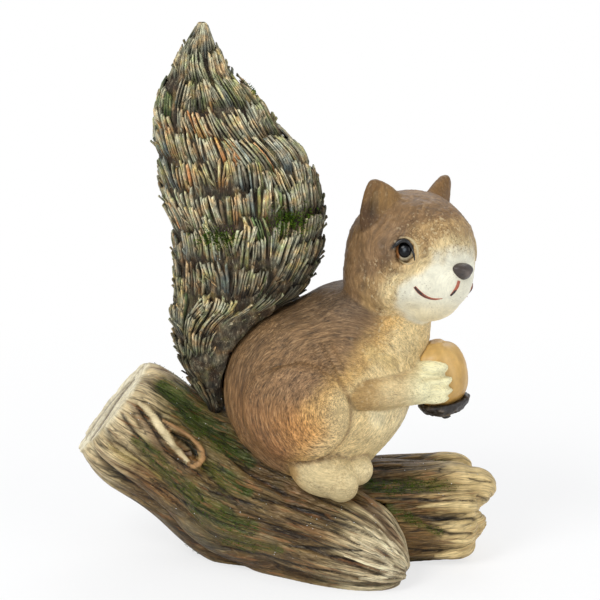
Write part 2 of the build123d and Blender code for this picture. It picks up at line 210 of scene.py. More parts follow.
def brushed(spots, *lines):
    """How strongly brushed lines cover flat spots, from 1 on a line down to 0."""
    return np.exp(-(strokes_on(spots, lines) ** 2))


# Meshes
class Skin:
    """A mesh as arrays: places in millimetres, faces, and what is worked out from them."""

    def __init__(self, places, faces):
        self.places = places
        self.faces = faces
        pairs = np.concatenate([faces[:, [k, (k + 1) % faces.shape[1]]] for k in range(faces.shape[1])])
        self.edges = np.unique(np.sort(pairs, axis=1), axis=0)
        self.degree = np.maximum(np.bincount(self.edges.ravel(), minlength=len(places)), 1)

    def around(self, values):
        """The mean of each point's neighbours."""
        a, b = self.edges.T
        count = len(self.places)
        columns = values.reshape(count, -1)
        out = np.stack(
            [
                np.bincount(a, columns[b, k], count) + np.bincount(b, columns[a, k], count)
                for k in range(columns.shape[1])
            ],
            axis=1,
        )
        return (out / self.degree[:, None]).reshape(values.shape)

    def soften(self, values, times, amount=0.5):
        for _ in range(times):
            change = self.around(values) - values
            values = values + (change.T * amount).T
        return values

    def normals(self):
        p = self.places[self.faces]
        across = np.cross(p[:, 2] - p[:, 0], p[:, -1] - p[:, 1])
        out = np.zeros_like(self.places)
        for k in range(self.faces.shape[1]):
            for axis in range(3):
                out[:, axis] += np.bincount(self.faces[:, k], across[:, axis], len(out))
        return out / np.maximum(np.linalg.norm(out, axis=1), 1e-12)[:, None]

    def tree(self):
        return BVHTree.FromPolygons(self.places.tolist(), self.faces.tolist())

    def push(self, amount):
        self.places = self.places + self.normals() * np.asarray(amount)[:, None]

    def keep_in_box(self):
        self.places = np.clip(self.places, LOW, HIGH)


def node_arrays(name):
    """A node's welded points in millimetres and its triangles."""
    mesh = NODES[name].data
    mesh.calc_loop_triangles()
    places = np.empty(len(mesh.vertices) * 3)
    mesh.vertices.foreach_get("co", places)
    faces = np.empty(len(mesh.loop_triangles) * 3, dtype=np.int32)
    mesh.loop_triangles.foreach_get("vertices", faces)
    places = places.reshape(-1, 3) * 1000
    _, first, back = np.unique(np.round(places, 3), axis=0, return_index=True, return_inverse=True)
    faces = back.reshape(-1)[faces].reshape(-1, 3)
    faces = faces[(faces[:, 0] != faces[:, 1]) & (faces[:, 1] != faces[:, 2]) & (faces[:, 2] != faces[:, 0])]
    return places[first], faces


def build(name, places, faces, smooth=True):
    """A Blender object from arrays in millimetres."""
    mesh = bpy.data.meshes.new(name)
    faces = np.asarray(faces)
    mesh.vertices.add(len(places))
    mesh.vertices.foreach_set("co", (np.asarray(places) * MM).ravel())
    sides = faces.shape[1]
    mesh.loops.add(faces.size)
    mesh.loops.foreach_set("vertex_index", faces.ravel().astype(np.int32))
    mesh.polygons.add(len(faces))
    mesh.polygons.foreach_set("loop_start", np.arange(0, faces.size, sides, dtype=np.int32))
    mesh.update(calc_edges=True)
    mesh.polygons.foreach_set("use_smooth", np.full(len(faces), smooth))
    mesh.validate()
    thing = bpy.data.objects.new(name, mesh)
    bpy.context.scene.collection.objects.link(thing)
    return thing


def cast(name, nodes, voxel, swell=0.12):
    """One closed skin over several nodes, with only its outermost shell."""
    places, faces, count = [], [], 0
    for node in nodes:
        p, f = node_arrays(node)
        p = p + Skin(p, f).normals() * swell
        places.append(p)
        faces.append(f + count)
        count += len(p)
    raw = build(name + "_raw", np.concatenate(places), np.concatenate(faces))
    remesh = raw.modifiers.new("voxels", "REMESH")
    remesh.mode = "VOXEL"
    remesh.voxel_size = voxel * MM
    remesh.adaptivity = 0
    bpy.context.view_layer.update()
    done = bpy.data.meshes.new_from_object(raw.evaluated_get(bpy.context.evaluated_depsgraph_get()))
    p = np.empty(len(done.vertices) * 3)
    done.vertices.foreach_get("co", p)
    f = np.empty(len(done.loops), dtype=np.int32)
    done.loops.foreach_get("vertex_index", f)
    p = p.reshape(-1, 3) * 1000
    f = f.reshape(-1, 4)
    bpy.data.objects.remove(raw)
    bpy.data.meshes.remove(done)
    label = np.arange(len(p))
    edges = Skin(p, f).edges
    for _ in range(4000):
        low = np.minimum(label[edges[:, 0]], label[edges[:, 1]])
        new = label.copy()
        np.minimum.at(new, edges[:, 0], low)
        np.minimum.at(new, edges[:, 1], low)
        new = new[new]
        if (new == label).all():
            break
        label = new
    keep = label == np.bincount(label).argmax()
    index = np.cumsum(keep) - 1
    return Skin(p[keep], index[f[keep[f[:, 0]]]])


def nearest(tree, places):
    """The distance from each place to a tree's surface."""
    find = tree.find_nearest
    return np.array([find(p)[3] for p in places.tolist()])


def shelter(skin, reach, rays=10):
    """How much of the near sky each point sees, from 0 in a crease to 1 on the open surface."""
    tree = skin.tree()
    normals = skin.normals()
    count = len(skin.places)
    start = skin.places + normals * 0.25
    seen = np.zeros(count)
    spin = np.random.default_rng(5)
    for _ in range(rays):
        d = spin.normal(size=(count, 3))
        d /= np.linalg.norm(d, axis=1)[:, None]
        d = d + normals * 1.05
        d /= np.linalg.norm(d, axis=1)[:, None]
        ray = tree.ray_cast
        hits = [ray(p, q, reach)[3] for p, q in zip(start.tolist(), d.tolist())]
        seen += np.array([1.0 if h is None else h / reach for h in hits])
    return skin.soften(seen / rays, 3)


def attribute(thing, name, values):
    """Stores one value a point: a number, a place or a colour."""
    values = np.asarray(values, dtype=float)
    mesh = thing.data
    if values.ndim == 1:
        mesh.attributes.new(name, "FLOAT", "POINT").data.foreach_set("value", values)
    elif name == "paint":
        colours = np.concatenate([np.clip(values, 0, 1), np.ones((len(values), 1))], axis=1)
        mesh.attributes.new(name, "FLOAT_COLOR", "POINT").data.foreach_set("color", colours.ravel())
    else:
        mesh.attributes.new(name, "FLOAT_VECTOR", "POINT").data.foreach_set("vector", values.ravel())


def dress(thing, material, slot, *nodes):
    """Gives a piece its material and body, and hides the nodes that it stands for. The slot is not used."""
    thing.data.materials.clear()
    thing.data.materials.append(material)
    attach(thing, "root")
    if nodes:
        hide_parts(*nodes)


def show(name, places, faces, material, slot, nodes=(), smooth=True, **values):
    """Builds a piece with its values at each point, and dresses it."""
    thing = build(name, places, faces, smooth)
    for key, value in values.items():
        attribute(thing, key, value)
    dress(thing, material, slot, *nodes)


def bands(rings, sides, first=0):
    """Faces between each ring of points and the next."""
    faces = []
    for i in range(rings):
        for k in range(sides):
            a, m = first + i * sides, (k + 1) % sides
            faces.append([a + k, a + m, a + sides + m, a + sides + k])
    return faces


def ball(rings, around, spot):
    """A closed ball's places, faces and paint. Spot gives the place and colour for each direction."""
    places, paint = [], []
    for i in range(rings + 1):
        a = math.pi * i / rings
        for k in range(around):
            t = 2 * math.pi * k / around
            place, tone = spot(math.cos(a), math.sin(a) * math.cos(t), math.sin(a) * math.sin(t))
            places.append(place)
            paint.append(tone)
    return np.array(places), triangles(np.array(bands(rings, around))[:, [0, 3, 2, 1]]), np.array(paint)


def join(parts):
    """One array of places and faces from several."""
    places, faces, count = [], [], 0
    for p, f in parts:
        places.append(np.asarray(p))
        faces.append(np.asarray(f) + count)
        count += len(p)
    return np.concatenate(places), np.concatenate(faces)


def triangles(faces):
    """Four-cornered faces as triangles, without those of no area."""
    faces = np.asarray(faces)
    halves = np.concatenate([faces[:, [0, 1, 2]], faces[:, [0, 2, 3]]])
    good = (halves[:, 0] != halves[:, 1]) & (halves[:, 1] != halves[:, 2]) & (halves[:, 0] != halves[:, 2])
    return halves[good]


def curve_through(points, count):
    """A smooth line through a few points."""
    points = np.asarray(points, dtype=float)
    share = np.linspace(0, 1, len(points))
    fine = np.linspace(0, 1, count)
    line = np.stack([np.interp(fine, share, points[:, k]) for k in range(points.shape[1])], axis=1)
    for _ in range(count // 5):
        line[1:-1] = (line[:-2] + line[2:]) / 2
    return line


# Materials
class Graph:
    """A material's node tree, built by short calls."""

    def __init__(self, name):
        self.material = bpy.data.materials.new(name)
        self.material.use_nodes = True
        self.tree = self.material.node_tree
        self.shader = self.tree.nodes["Principled BSDF"]

    def add(self, kind, out=0, **inputs):
        node = self.tree.nodes.new("ShaderNode" + kind)
        for key, value in inputs.items():
            if key.startswith("set_"):
                setattr(node, key[4:], value)
                continue
            socket = node.inputs[int(key[1:])] if key[0] == "i" and key[1:].isdigit() else node.inputs[key]
            self.put(socket, value)
        return node.outputs[out]

    def put(self, socket, value):
        if isinstance(value, bpy.types.NodeSocket):
            self.tree.links.new(value, socket)
        elif isinstance(value, tuple) and len(value) == 3 and socket.type == "RGBA":
            socket.default_value = (*value, 1)
        else:
            socket.default_value = value

    def read(self, name, out):
        return self.add("Attribute", out, set_attribute_name=name)

    def noise(self, vector, scale, detail=3.0, roughness=0.6, out=0):
        return self.add("TexNoise", out, Vector=vector, Scale=scale, Detail=detail, Roughness=roughness)

    def math(self, what, a, b=0.0, c=0.0):
        return self.add("Math", set_operation=what, i0=a, i1=b, i2=c)

    def ramp(self, value, *stops):
        node = self.tree.nodes.new("ShaderNodeValToRGB")
        self.tree.links.new(value, node.inputs[0])
        ramp = node.color_ramp
        while len(ramp.elements) < len(stops):
            ramp.elements.new(0.5)
        for element, (place, level) in zip(ramp.elements, stops):
            element.position = place
            element.color = (level, level, level, 1) if isinstance(level, (int, float)) else (*level, 1)
        return node.outputs[0]

    def blend(self, how, a, b, amount):
        node = self.tree.nodes.new("ShaderNodeMix")
        node.data_type = "RGBA"
        node.blend_type = how
        node.clamp_result = True
        for k, value in ((0, amount), (6, a), (7, b)):
            self.put(node.inputs[k], value)
        return node.outputs[2]

    def surface(self, **inputs):
        for key, value in inputs.items():
            self.put(self.shader.inputs[key.replace("_", " ")], value)
        return self.material


def coat_material():
    """Brushed acrylic over a cast grain: streaks along the flow, crackle, dark specks and pale dry-brushing."""
    g = Graph("coat_paint")
    dry = (0.8, 0.68, 0.42)
    paint, flow = g.read("paint", 0), g.read("flow", 1)
    grain, worn = g.read("grain", 2), g.read("worn", 2)
    place = g.add("TexCoord", 3)
    broad = g.noise(flow, 1.1, 3.0, 0.55)
    thin = g.noise(flow, 2.9)
    blotch = g.noise(place, 110.0)
    both = g.math("MULTIPLY_ADD", thin, 0.65, g.math("MULTIPLY", broad, 0.5))
    shade = g.ramp(both, (0.43, 0.15), (0.53, 0.7), (0.59, 1.03), (0.7, 1.6))
    colour = g.blend("MULTIPLY", paint, shade, grain)
    colour = g.blend("MULTIPLY", colour, g.ramp(blotch, (0.35, 0.84), (0.65, 1.1)), 0.8)
    pale = g.math("MULTIPLY", g.ramp(both, (0.61, 0.0), (0.72, 1.0)), 0.14)
    colour = g.blend("MIX", colour, dry, g.math("MULTIPLY", pale, grain))
    where = g.noise(place, 120.0)
    here = g.math("MULTIPLY", g.ramp(where, (0.36, 0.0), (0.54, 1.0)), worn)
    worm = g.noise(place, 620.0, 2.0, 0.55)
    line = g.math("ABSOLUTE", g.math("SUBTRACT", worm, 0.5))
    crackle = g.math("MULTIPLY", g.ramp(line, (0.0, 1.0), (0.03, 0.0)), here)
    colour = g.blend("MULTIPLY", colour, (0.48, 0.36, 0.24), crackle)
    fleck = g.math("MULTIPLY", g.ramp(worm, (0.58, 0.0), (0.66, 0.8)), here)
    colour = g.blend("MIX", colour, dry, g.math("MULTIPLY", fleck, 0.45))
    dots = g.ramp(g.noise(place, 1500.0, 2.0, 0.5), (0.63, 0.0), (0.7, 1.0))
    dots = g.math("MULTIPLY", dots, g.ramp(where, (0.48, 0.0), (0.62, 1.0)))
    colour = g.blend("MIX", colour, (0.17, 0.1, 0.045), g.math("MULTIPLY", dots, 0.75))
    height = g.math("MULTIPLY_ADD", crackle, -0.16, g.math("MULTIPLY", g.noise(place, 1300.0), 0.2))
    bump = g.add("Bump", Strength=0.75, Distance=0.0009, Height=g.math("MULTIPLY_ADD", both, grain, height))
    gloss = g.ramp(blotch, (0.3, 0.39), (0.7, 0.56))
    return g.surface(Base_Color=colour, Roughness=gloss, Normal=bump, Specular_IOR_Level=0.35)


def bark_material():
    """Bark under brown washes and dry-brushing: three sizes of crack along the grain, warm threads and a wet gloss."""
    g = Graph("bark_paint")
    paint, flow, grain = g.read("paint", 0), g.read("flow", 1), g.read("grain", 2)
    place = g.add("TexCoord", 3)
    drift = g.noise(flow, 0.1, 2.0, 0.5, 1)
    bent = g.add("VectorMath", set_operation="MULTIPLY_ADD", i0=drift, i1=(5.0, 5.0, 1.2), i2=flow)
    height = None
    colour = paint
    for scale, width, low, share in ((0.26, 0.022, 0.3, 0.55), (0.62, 0.03, 0.5, 0.36), (1.5, 0.045, 0.7, 0.22)):
        off = g.math("ABSOLUTE", g.math("SUBTRACT", g.noise(bent, scale, 2.0, 0.5), 0.5))
        groove = g.ramp(off, (0.0, 0.0), (width, 0.8), (width * 2.4, 1.0))
        colour = g.blend("MULTIPLY", colour, g.ramp(groove, (0.0, low), (0.9, 1.0), (1.0, 1.05)), grain)
        part = g.math("MULTIPLY", groove, share)
        height = part if height is None else g.math("ADD", height, part)
    hair = g.noise(bent, 3.2)
    colour = g.blend("MULTIPLY", colour, g.ramp(hair, (0.35, 0.88), (0.65, 1.12)), grain)
    tone = g.ramp(g.noise(place, 150.0, 4.0), (0.35, (0.78, 0.74, 0.66)), (0.65, (1.18, 1.16, 1.12)))
    colour = g.blend("MULTIPLY", colour, tone, 0.9)
    red = g.ramp(g.noise(bent, 0.9, 2.0, 0.5), (0.58, 0.0), (0.68, 0.5))
    colour = g.blend("MIX", colour, (0.34, 0.15, 0.05), g.math("MULTIPLY", red, grain))
    tops = g.math("MULTIPLY", g.ramp(hair, (0.56, 0.0), (0.66, 1.0)), g.ramp(height, (0.72, 0.0), (1.05, 1.0)))
    tops = g.math("MULTIPLY", g.math("MULTIPLY", tops, 0.24), grain)
    colour = g.blend("MIX", colour, (0.6, 0.49, 0.29), tops)
    fine = g.math("MULTIPLY_ADD", hair, 0.22, g.math("MULTIPLY", g.noise(place, 1300.0), 0.16))
    bump = g.add("Bump", Strength=0.8, Distance=0.0009, Height=g.math("MULTIPLY_ADD", height, grain, fine))
    gloss = g.ramp(hair, (0.3, 0.3), (0.7, 0.5))
    return g.surface(Base_Color=colour, Roughness=gloss, Normal=bump, Specular_IOR_Level=0.35)


def tail_material():
    """The tail's paint: each shred's own tone, small blots of rust, olive and blue-grey, and pale dry-brushing."""
    g = Graph("tail_paint")
    paint = g.read("paint", 0)
    flow = g.read("flow", 1)
    place = g.add("TexCoord", 3)
    streak = g.noise(flow, 2.6)
    blot = g.noise(place, 330.0)
    warm = g.noise(place, 210.0)
    olive = g.noise(place, 160.0)
    colour = g.blend("MULTIPLY", paint, g.ramp(streak, (0.36, 0.42), (0.5, 0.95), (0.66, 1.5)), 0.9)
    hue = g.ramp(warm, (0.36, (0.84, 0.96, 1.02)), (0.5, (1.0, 1.0, 1.0)), (0.64, (1.28, 0.98, 0.72)))
    colour = g.blend("MULTIPLY", colour, hue, 0.9)
    hue = g.ramp(olive, (0.38, (0.94, 1.03, 0.76)), (0.48, (1.0, 1.0, 1.0)))
    colour = g.blend("MULTIPLY", colour, hue, 0.9)
    colour = g.blend("MULTIPLY", colour, g.ramp(blot, (0.34, 0.62), (0.66, 1.4)), 0.9)
    pale = g.math("MULTIPLY", g.ramp(streak, (0.58, 0.0), (0.68, 1.0)), g.ramp(blot, (0.48, 0.0), (0.6, 0.6)))
    colour = g.blend("MIX", colour, (0.7, 0.64, 0.45), pale)
    dots = g.noise(place, 1500.0, 2.0, 0.5)
    colour = g.blend("MIX", colour, (0.03, 0.022, 0.014), g.ramp(dots, (0.62, 0.0), (0.69, 0.65)))
    height = g.math("MULTIPLY_ADD", streak, 0.8, g.math("MULTIPLY", dots, 0.3))
    bump = g.add("Bump", Strength=0.9, Distance=0.0008, Height=height)
    gloss = g.ramp(blot, (0.3, 0.48), (0.7, 0.66))
    return g.surface(Base_Color=colour, Roughness=gloss, Normal=bump, Specular_IOR_Level=0.3)


def eye_paint():
    """Lacquer over the eye's paint: clear highlights, with no grey veil over the black."""
    g = Graph("eye_paint")
    paint = g.read("paint", 0)
    place = g.add("TexCoord", 3)
    fine = g.noise(place, 500.0)
    colour = g.blend("MULTIPLY", paint, g.ramp(fine, (0.35, 0.8), (0.65, 1.1)), 0.8)
    gloss = g.ramp(fine, (0.3, 0.1), (0.7, 0.16))
    return g.surface(Base_Color=colour, Roughness=gloss, Specular_IOR_Level=0.22)


def gloss_paint(name, roughness, coat, relief=0.15, scale=700.0):
    """Paint that only varies a little, under varnish."""
    g = Graph(name)
    paint = g.read("paint", 0)
    place = g.add("TexCoord", 3)
    blotch = g.noise(place, 160.0, 4.0, 0.6)
    fine = g.noise(place, scale)
    colour = g.blend("MULTIPLY", paint, g.ramp(blotch, (0.35, 0.85), (0.65, 1.08)), 0.8)
    colour = g.blend("MULTIPLY", colour, g.ramp(fine, (0.35, 0.88), (0.65, 1.06)), 0.7)
    bump = g.add("Bump", Strength=relief, Distance=0.0004, Height=fine)
    gloss = g.ramp(fine, (0.3, max(roughness - 0.04, 0.02)), (0.7, roughness + 0.05))
    return g.surface(Base_Color=colour, Roughness=gloss, Normal=bump, Coat_Weight=coat, Coat_Roughness=0.15)


def steel():
    g = Graph("drawn_steel")
    place = g.add("TexCoord", 3)
    lines = g.noise(place, 900.0, 4.0, 0.5)
    colour = g.ramp(lines, (0.3, (0.42, 0.42, 0.44)), (0.7, (0.62, 0.62, 0.64)))
    rough_lines = g.ramp(lines, (0.3, 0.28), (0.7, 0.45))
    return g.surface(Base_Color=colour, Roughness=rough_lines, Metallic=1.0)


# Camera, light and stage
def set_stage():
    """The photograph's camera, three soft lamps, a pale world and a floor that is white to the camera."""
    scene = bpy.context.scene
    scene.view_settings.view_transform = "Standard"
    data = bpy.data.cameras.new("camera")
    data.sensor_width = 36
    data.lens = data.sensor_width / 2 / (MIDDLE * PIXEL / DISTANCE)
    data.clip_end = 20
    camera = bpy.data.objects.new("camera", data)
    scene.collection.objects.link(camera)
    camera.location = Vector(EYE * MM)
    camera.rotation_euler = (math.radians(90) - ELEVATION, 0, 0)
    scene.camera = camera
    for name, place, size, power in (
        ("key", (-0.75, -0.95, 1.25), 0.8, 13.0),
        ("fill", (1.1, -0.9, 0.6), 1.2, 6.0),
        ("rim", (0.2, 1.2, 1.1), 1.0, 5.0),
    ):
        lamp = bpy.data.lights.new(name, "AREA")
        lamp.shape = "DISK"
        lamp.size = size
        lamp.energy = power
        thing = bpy.data.objects.new(name, lamp)
        thing.location = place
        thing.rotation_euler = (Vector((0, 0, 0.1)) - Vector(place)).to_track_quat("-Z", "Y").to_euler()
        scene.collection.objects.link(thing)
    world = bpy.data.worlds.new("studio")
    scene.world = world
    world.use_nodes = True
    nodes, links = world.node_tree.nodes, world.node_tree.links
    ground = nodes["Background"]
    ground.inputs[0].default_value = (0.93, 0.96, 1.0, 1)
    ground.inputs[1].default_value = 0.62
    white = nodes.new("ShaderNodeBackground")
    white.inputs[0].default_value = (1, 1, 1, 1)
    path = nodes.new("ShaderNodeLightPath")
    choose = nodes.new("ShaderNodeMixShader")
    links.new(path.outputs["Is Camera Ray"], choose.inputs[0])
    links.new(ground.outputs[0], choose.inputs[1])
    links.new(white.outputs[0], choose.inputs[2])
    links.new(choose.outputs[0], nodes["World Output"].inputs[0])
    size = 3000.0
    places = np.array([[-size, -size, 0], [size, -size, 0], [size, size, 0], [-size, size, 0]])
    floor = build("floor", places, np.array([[0, 1, 2, 3]]))
    g = Graph("white_floor")
    g.surface(Base_Color=(0.93, 0.93, 0.93), Roughness=0.8, Specular_IOR_Level=0.1)
    glow = g.tree.nodes.new("ShaderNodeEmission")
    glow.inputs[0].default_value = (1, 1, 1, 1)
    mixer = g.tree.nodes.new("ShaderNodeMixShader")
    path = g.tree.nodes.new("ShaderNodeLightPath")
    away = g.add("VectorMath", 1, set_operation="LENGTH", i0=g.add("TexCoord", 3))
    amount = g.math("MULTIPLY", path.outputs["Is Camera Ray"], g.ramp(away, (0.16, 0.7), (0.4, 1.0)))
    g.put(mixer.inputs[0], amount)
    g.put(mixer.inputs[1], g.shader.outputs[0])
    g.put(mixer.inputs[2], glow.outputs[0])
    g.put(g.tree.nodes["Material Output"].inputs[0], mixer.outputs[0])
    floor.data.materials.append(g.material)


# Squirrel
TORSO, FACE, EAR, ARM, FOOT = range(5)
SKIN_NODES = ["body", "head", "right_ear", "left_ear", "right_forearm", "left_forearm", "right_foot", "left_foot"]
DARK = (0.105, 0.063, 0.032)
BROWN = (0.215, 0.122, 0.052)
HAUNCH = 21.3

# Folds behind the arm and on the haunch, in the body's forward and up, with how deep they are
FOLD_WIDTHS = (0.75, 0.75)
FOLDS = (
    (((4.5, 72.5), (15.2, 54.5)), 1.0),
    (((8.5, 73.0), (18.5, 55.5)), 0.8),
    (((1.0, 70.0), (11.5, 56.0)), 0.7),
    (((-15.0, 63.0), (2.0, 67.0)), 0.7),
    (((-12.0, 65.5), (3.5, 69.0)), 0.4),
    (((20.5, 56.5), (26.0, 47.0)), 0.7),
)

# How far forward the face's ochre, pale rim and white begin at levels of the head, and the front's cream on the body
OCHRE_LEVELS, OCHRE = [-26, -14, -8, -3, 2, 8, 14, 20], [-6, -2, 3, 8.5, 13.5, 14.5, 15.5, 22]
FACE_LEVELS = [-26, -20, -14, -10, -6, -4, 0, 2.5, 6.5, 9, 12, 22]
PALE_RIM = [1, 2.5, 5.0, 7.0, 10.0, 13.0, 17.5, 20.0, 20.5, 21.5, 23.5, 30]
WHITE = [6, 8.5, 12.5, 15.0, 17.5, 19.5, 22.3, 23.3, 24.2, 26.5, 30, 34]
FRONT_LEVELS, FRONT = [10, 22, 35, 47, 58, 66, 77, 94, 110], [-8, -5, -2, 3, 12, 20, 27, 33, 35]

# Brushed lines on the photograph: pixels and half widths
EYE_CORNER = (((416, 241), (419, 251), (416, 262), (408, 267)), (2.5, 3.5, 3.5, 2.0))
LASH = (((391.5, 248.5), (395.5, 245.0), (400.0, 241.0)), (1.5, 2.6, 2.2))
EYE_BAG = (((378, 268), (388, 272), (400, 273), (414, 268)), (1.0, 2.2, 2.2, 1.0))
# A painted shadow on the nape, under the head
NAPE_SHADOW = (((360, 282), (370, 295), (380, 308)), (9, 10, 8))
UPPER_ARM = (((372, 353), (392, 363)), (9, 9))
BELLY = (((374, 394), (378, 420)), (9, 9))
TOES = (((352, 474), (370, 472)), (10, 10))


def fur_flow(places, kinds):
    """Coordinates that run along the coat: two across it and one along it."""
    b, h = to_body(places), to_head(places)
    x, z = b[:, 0] - 13, b[:, 2] - 46
    out = np.hypot(x, z) + 1.5 * noise(b * 0.09, 71)
    body = np.stack([out, b[:, 1] + 1.2 * noise(b * 0.1, 72), np.arctan2(z, -x) * 42 / 11], axis=1)
    off = h - np.array([27.0, 0, -3])
    polar = np.arctan2(np.hypot(off[:, 1], off[:, 2]), -off[:, 0]) * 24 + 1.8 * noise(off * 0.13, 73)
    around = np.arctan2(off[:, 2], off[:, 1])
    face = np.stack([polar, np.cos(around) * 3.4, np.sin(around) * 3.4], axis=1)
    ear = np.stack([h[:, 0], h[:, 1] * 1.1, h[:, 2] / 7], axis=1)
    limb = np.stack([b[:, 0] / 9, b[:, 1], b[:, 2]], axis=1)
    out = np.where((kinds == FACE)[:, None], face + 300, body)
    out = np.where((kinds == EAR)[:, None], ear + 500, out)
    return np.where((kinds == ARM)[:, None], limb + 700, out)


def mirrored(places):
    """The same places on the other side of the head."""
    return from_head(to_head(np.asarray(places)) * (1, -1, 1))


def near_twin(places):
    """The same places with those on the far side of the face mirrored to the near side."""
    h = to_head(places)
    return from_head(np.stack([h[:, 0], -np.abs(h[:, 1]), h[:, 2]], axis=1))


def eye_axes(side):
    """An eye's centre, and its outward, forward and upward directions in the frame."""
    out = unit(np.array([0.55, side * 0.83, 0.06]) @ HEAD)
    top = unit(HEAD[2] - out * (HEAD[2] @ out))
    return from_head([10.5, side * 17.6, 3.6]), out, np.cross(top, out) * -side, top


def open_eye(skin, side):
    """Draws the skin back inside the bead, within the lids."""
    centre, out, ahead, top = eye_axes(side)
    d = skin.places - centre
    a, t, o = d @ ahead, d @ top, d @ out
    within = ((a / 3.7) ** 2 + ((t + 0.7) / 4.4) ** 2 < 1) & (o > 0)
    deep = np.sqrt(np.clip(3.9**2 - a**2 - t**2, 0, None))
    skin.places[within] += out * (np.minimum(o, deep) - o)[within, None]


def white_face(places):
    """How white the muzzle and cheek are, from 0 on the coat to 1."""
    h = to_head(places)
    return step(-1.8, 1.8, h[:, 0] - np.interp(h[:, 2], FACE_LEVELS, WHITE) + 1.3 * rough(h * 0.22, 3, 41))


def make_squirrel():
    """One skin over the body, head, ears, forearms and feet, with its fur, folds and paint."""
    skin = cast("squirrel", SKIN_NODES, 0.8)
    far = {node: nearest(Skin(*node_arrays(node)).tree(), skin.places) for node in SKIN_NODES}
    ear, arm, foot = (np.minimum(far["right_" + part], far["left_" + part]) for part in ("ear", "forearm", "foot"))
    head, body = far["head"], far["body"]
    kinds = np.stack([body, head, ear, arm, foot]).argmin(axis=0)

    # Cast pieces flow into each other: wide softening on head and body, little on the thin pieces
    wide = step(0.4, 3.0, np.minimum(np.minimum(ear, arm), foot))
    amount = 0.5 * np.clip(wide + step(5.0, 1.0, np.maximum(head, body)), 0, 1)
    for _ in range(36):
        skin.places = skin.places + (skin.around(skin.places) - skin.places) * amount[:, None]
    skin.places = skin.soften(skin.places, 3)

    # The underside of both paws rises off the cup
    x, _, z = to_body(skin.places).T
    low = np.clip(52.0 - z, 0, None) * step(26, 42, x) * (kinds == ARM) * step(1.5, 0.2, arm)
    skin.places[:, 2] += 0.1 * low

    # Face: brow, cheeks, a dip round each eye, the muzzle's stop and the pit at its root
    x, y, z = to_head(skin.places).T
    side = np.abs(y)
    at_eye = np.sqrt((x - 13.1) ** 2 + (side - 21.5) ** 2 + (z - 4.0) ** 2)
    push = 0.8 * blob((x, 13, 6), (side, 16.5, 7), (z, 12.0, 3.2)) - 0.8 * blob((at_eye, 0, 5.5))
    push += 0.9 * blob((x, 15, 8), (side, 18, 6), (z, -9, 5.5)) - 0.8 * blob((x, 21, 6), (side, 0, 7), (z, 6, 4.5))
    push -= 0.5 * blob((x, 18.0, 1.8), (side, 19.0, 2.2), (z, -10.0, 2.0))
    skin.push(push * step(3.0, 0.5, head) * (kinds == FACE))

    # Ears: a long hollow beside the rolled outer edge
    hollow = np.exp(-(((side - 25.4) / 2.1) ** 2) - ((z - 20.5) / 6.5) ** 4) * (kinds == EAR)
    hollow = hollow * step(-0.1, 0.4, skin.normals() @ HEAD[0])
    skin.push(-2.2 * hollow)

    # Haunch: its front edge stands over the belly behind a rolled crease; folds behind the arm
    b = to_body(skin.places)
    x, y, z = b.T
    flank = step(12, 19, np.abs(y)) * step(1.0, 0.2, body) * (kinds == TORSO)
    u, v = (x + 3) / HAUNCH, (z - 44) / HAUNCH
    reach = np.hypot(u, v)
    front = step(-0.75, -0.1, u + 0.3 * v) * flank
    crease = blob((reach, 1.0, 0.045)) * front
    folds = sum(deep * brushed(b[:, [0, 2]], (line, FOLD_WIDTHS)) for line, deep in FOLDS)
    folds = np.clip(folds, 0, 1.2) * flank
    beyond = blob((reach, 1.13, 0.11)) * front * step(62, 50, z)
    skin.push(blob((reach, 0.82, 0.14)) * front - crease * 0.9 - beyond * 1.3 - folds * 0.75)

    # Fur: strokes along the coat, tufts and grit, quiet on face and limbs and round the eyes
    white = white_face(skin.places) * (kinds == FACE)
    flow = fur_flow(skin.places, kinds)
    coat = rough(flow * (0.6, 0.6, 0.7), 3, 3) * (0.17 + 0.08 * step(2, 12, np.abs(x - 20)))
    tufts = noise(flow * (0.16, 0.16, 0.35), 9)
    quiet = np.array([1.0, 0.4, 0.35, 0.35, 0.35])[kinds] * (1 - 0.9 * white)
    rows = (coat + tufts * 0.12) * quiet
    rows += rough(skin.places * 0.75, 2, 13) * np.where(kinds == FACE, 0.2, 0.06) * (1 - 0.6 * white)
    skin.push(rows * step(0.5, 2.5, at_eye - 4.2))

    # Paws: shallow grooves between the fingers
    x, _, z = to_body(skin.places).T
    grooves = blob((z - 0.12 * (x - 50), 57.2, 0.5)) * step(43.0, 47.0, x)
    grooves += 0.45 * blob((z, 53.2, 0.5)) * step(47.0, 51.0, x)
    grooves *= step(1.2, 0.3, arm) * (kinds == ARM)
    skin.push(-0.45 * grooves)

    open_eye(skin, -1)
    open_eye(skin, 1)
    open_sky = shelter(skin, 7.0)
    skin.keep_in_box()
    seam = step(2.4, 0.4, np.maximum(foot, body)) * (kinds != ARM)
    crease = np.maximum(crease, folds * 0.8)
    paint = paint_squirrel(skin, kinds, open_sky, white, rows, crease, seam, hollow, grooves)
    calm = np.array([0.85, 0.42, 0.3, 0.3, 0.3])[kinds] * (1 - 0.75 * white)
    calm = calm * (1 - 0.45 * step(6, 22, x) * (kinds == TORSO))
    ahead, _, up = to_head(skin.places).T
    brow = step(6, 13, ahead) * step(2, 6, up) * step(24, 17, up)
    cheek = step(-8, 3, ahead) * step(2, -4, up)
    worn = np.array([0.12, 0.15, 0.3, 0.45, 0.6])[kinds]
    worn = worn + 0.85 * np.maximum(brow, cheek) * (kinds == FACE) + 0.5 * step(14, 26, x) * (kinds == TORSO)
    worn = worn * (1 - 0.85 * white) + 0.5 * np.clip(4 * white * (1 - white), 0, 1)
    show(
        "squirrel_skin", skin.places, skin.faces, coat_material(), "painted_fur", SKIN_NODES, paint=paint,
        flow=fur_flow(skin.places, kinds), grain=skin.soften(calm, 4), worn=skin.soften(np.clip(worn, 0, 1), 4),
    )
    return skin


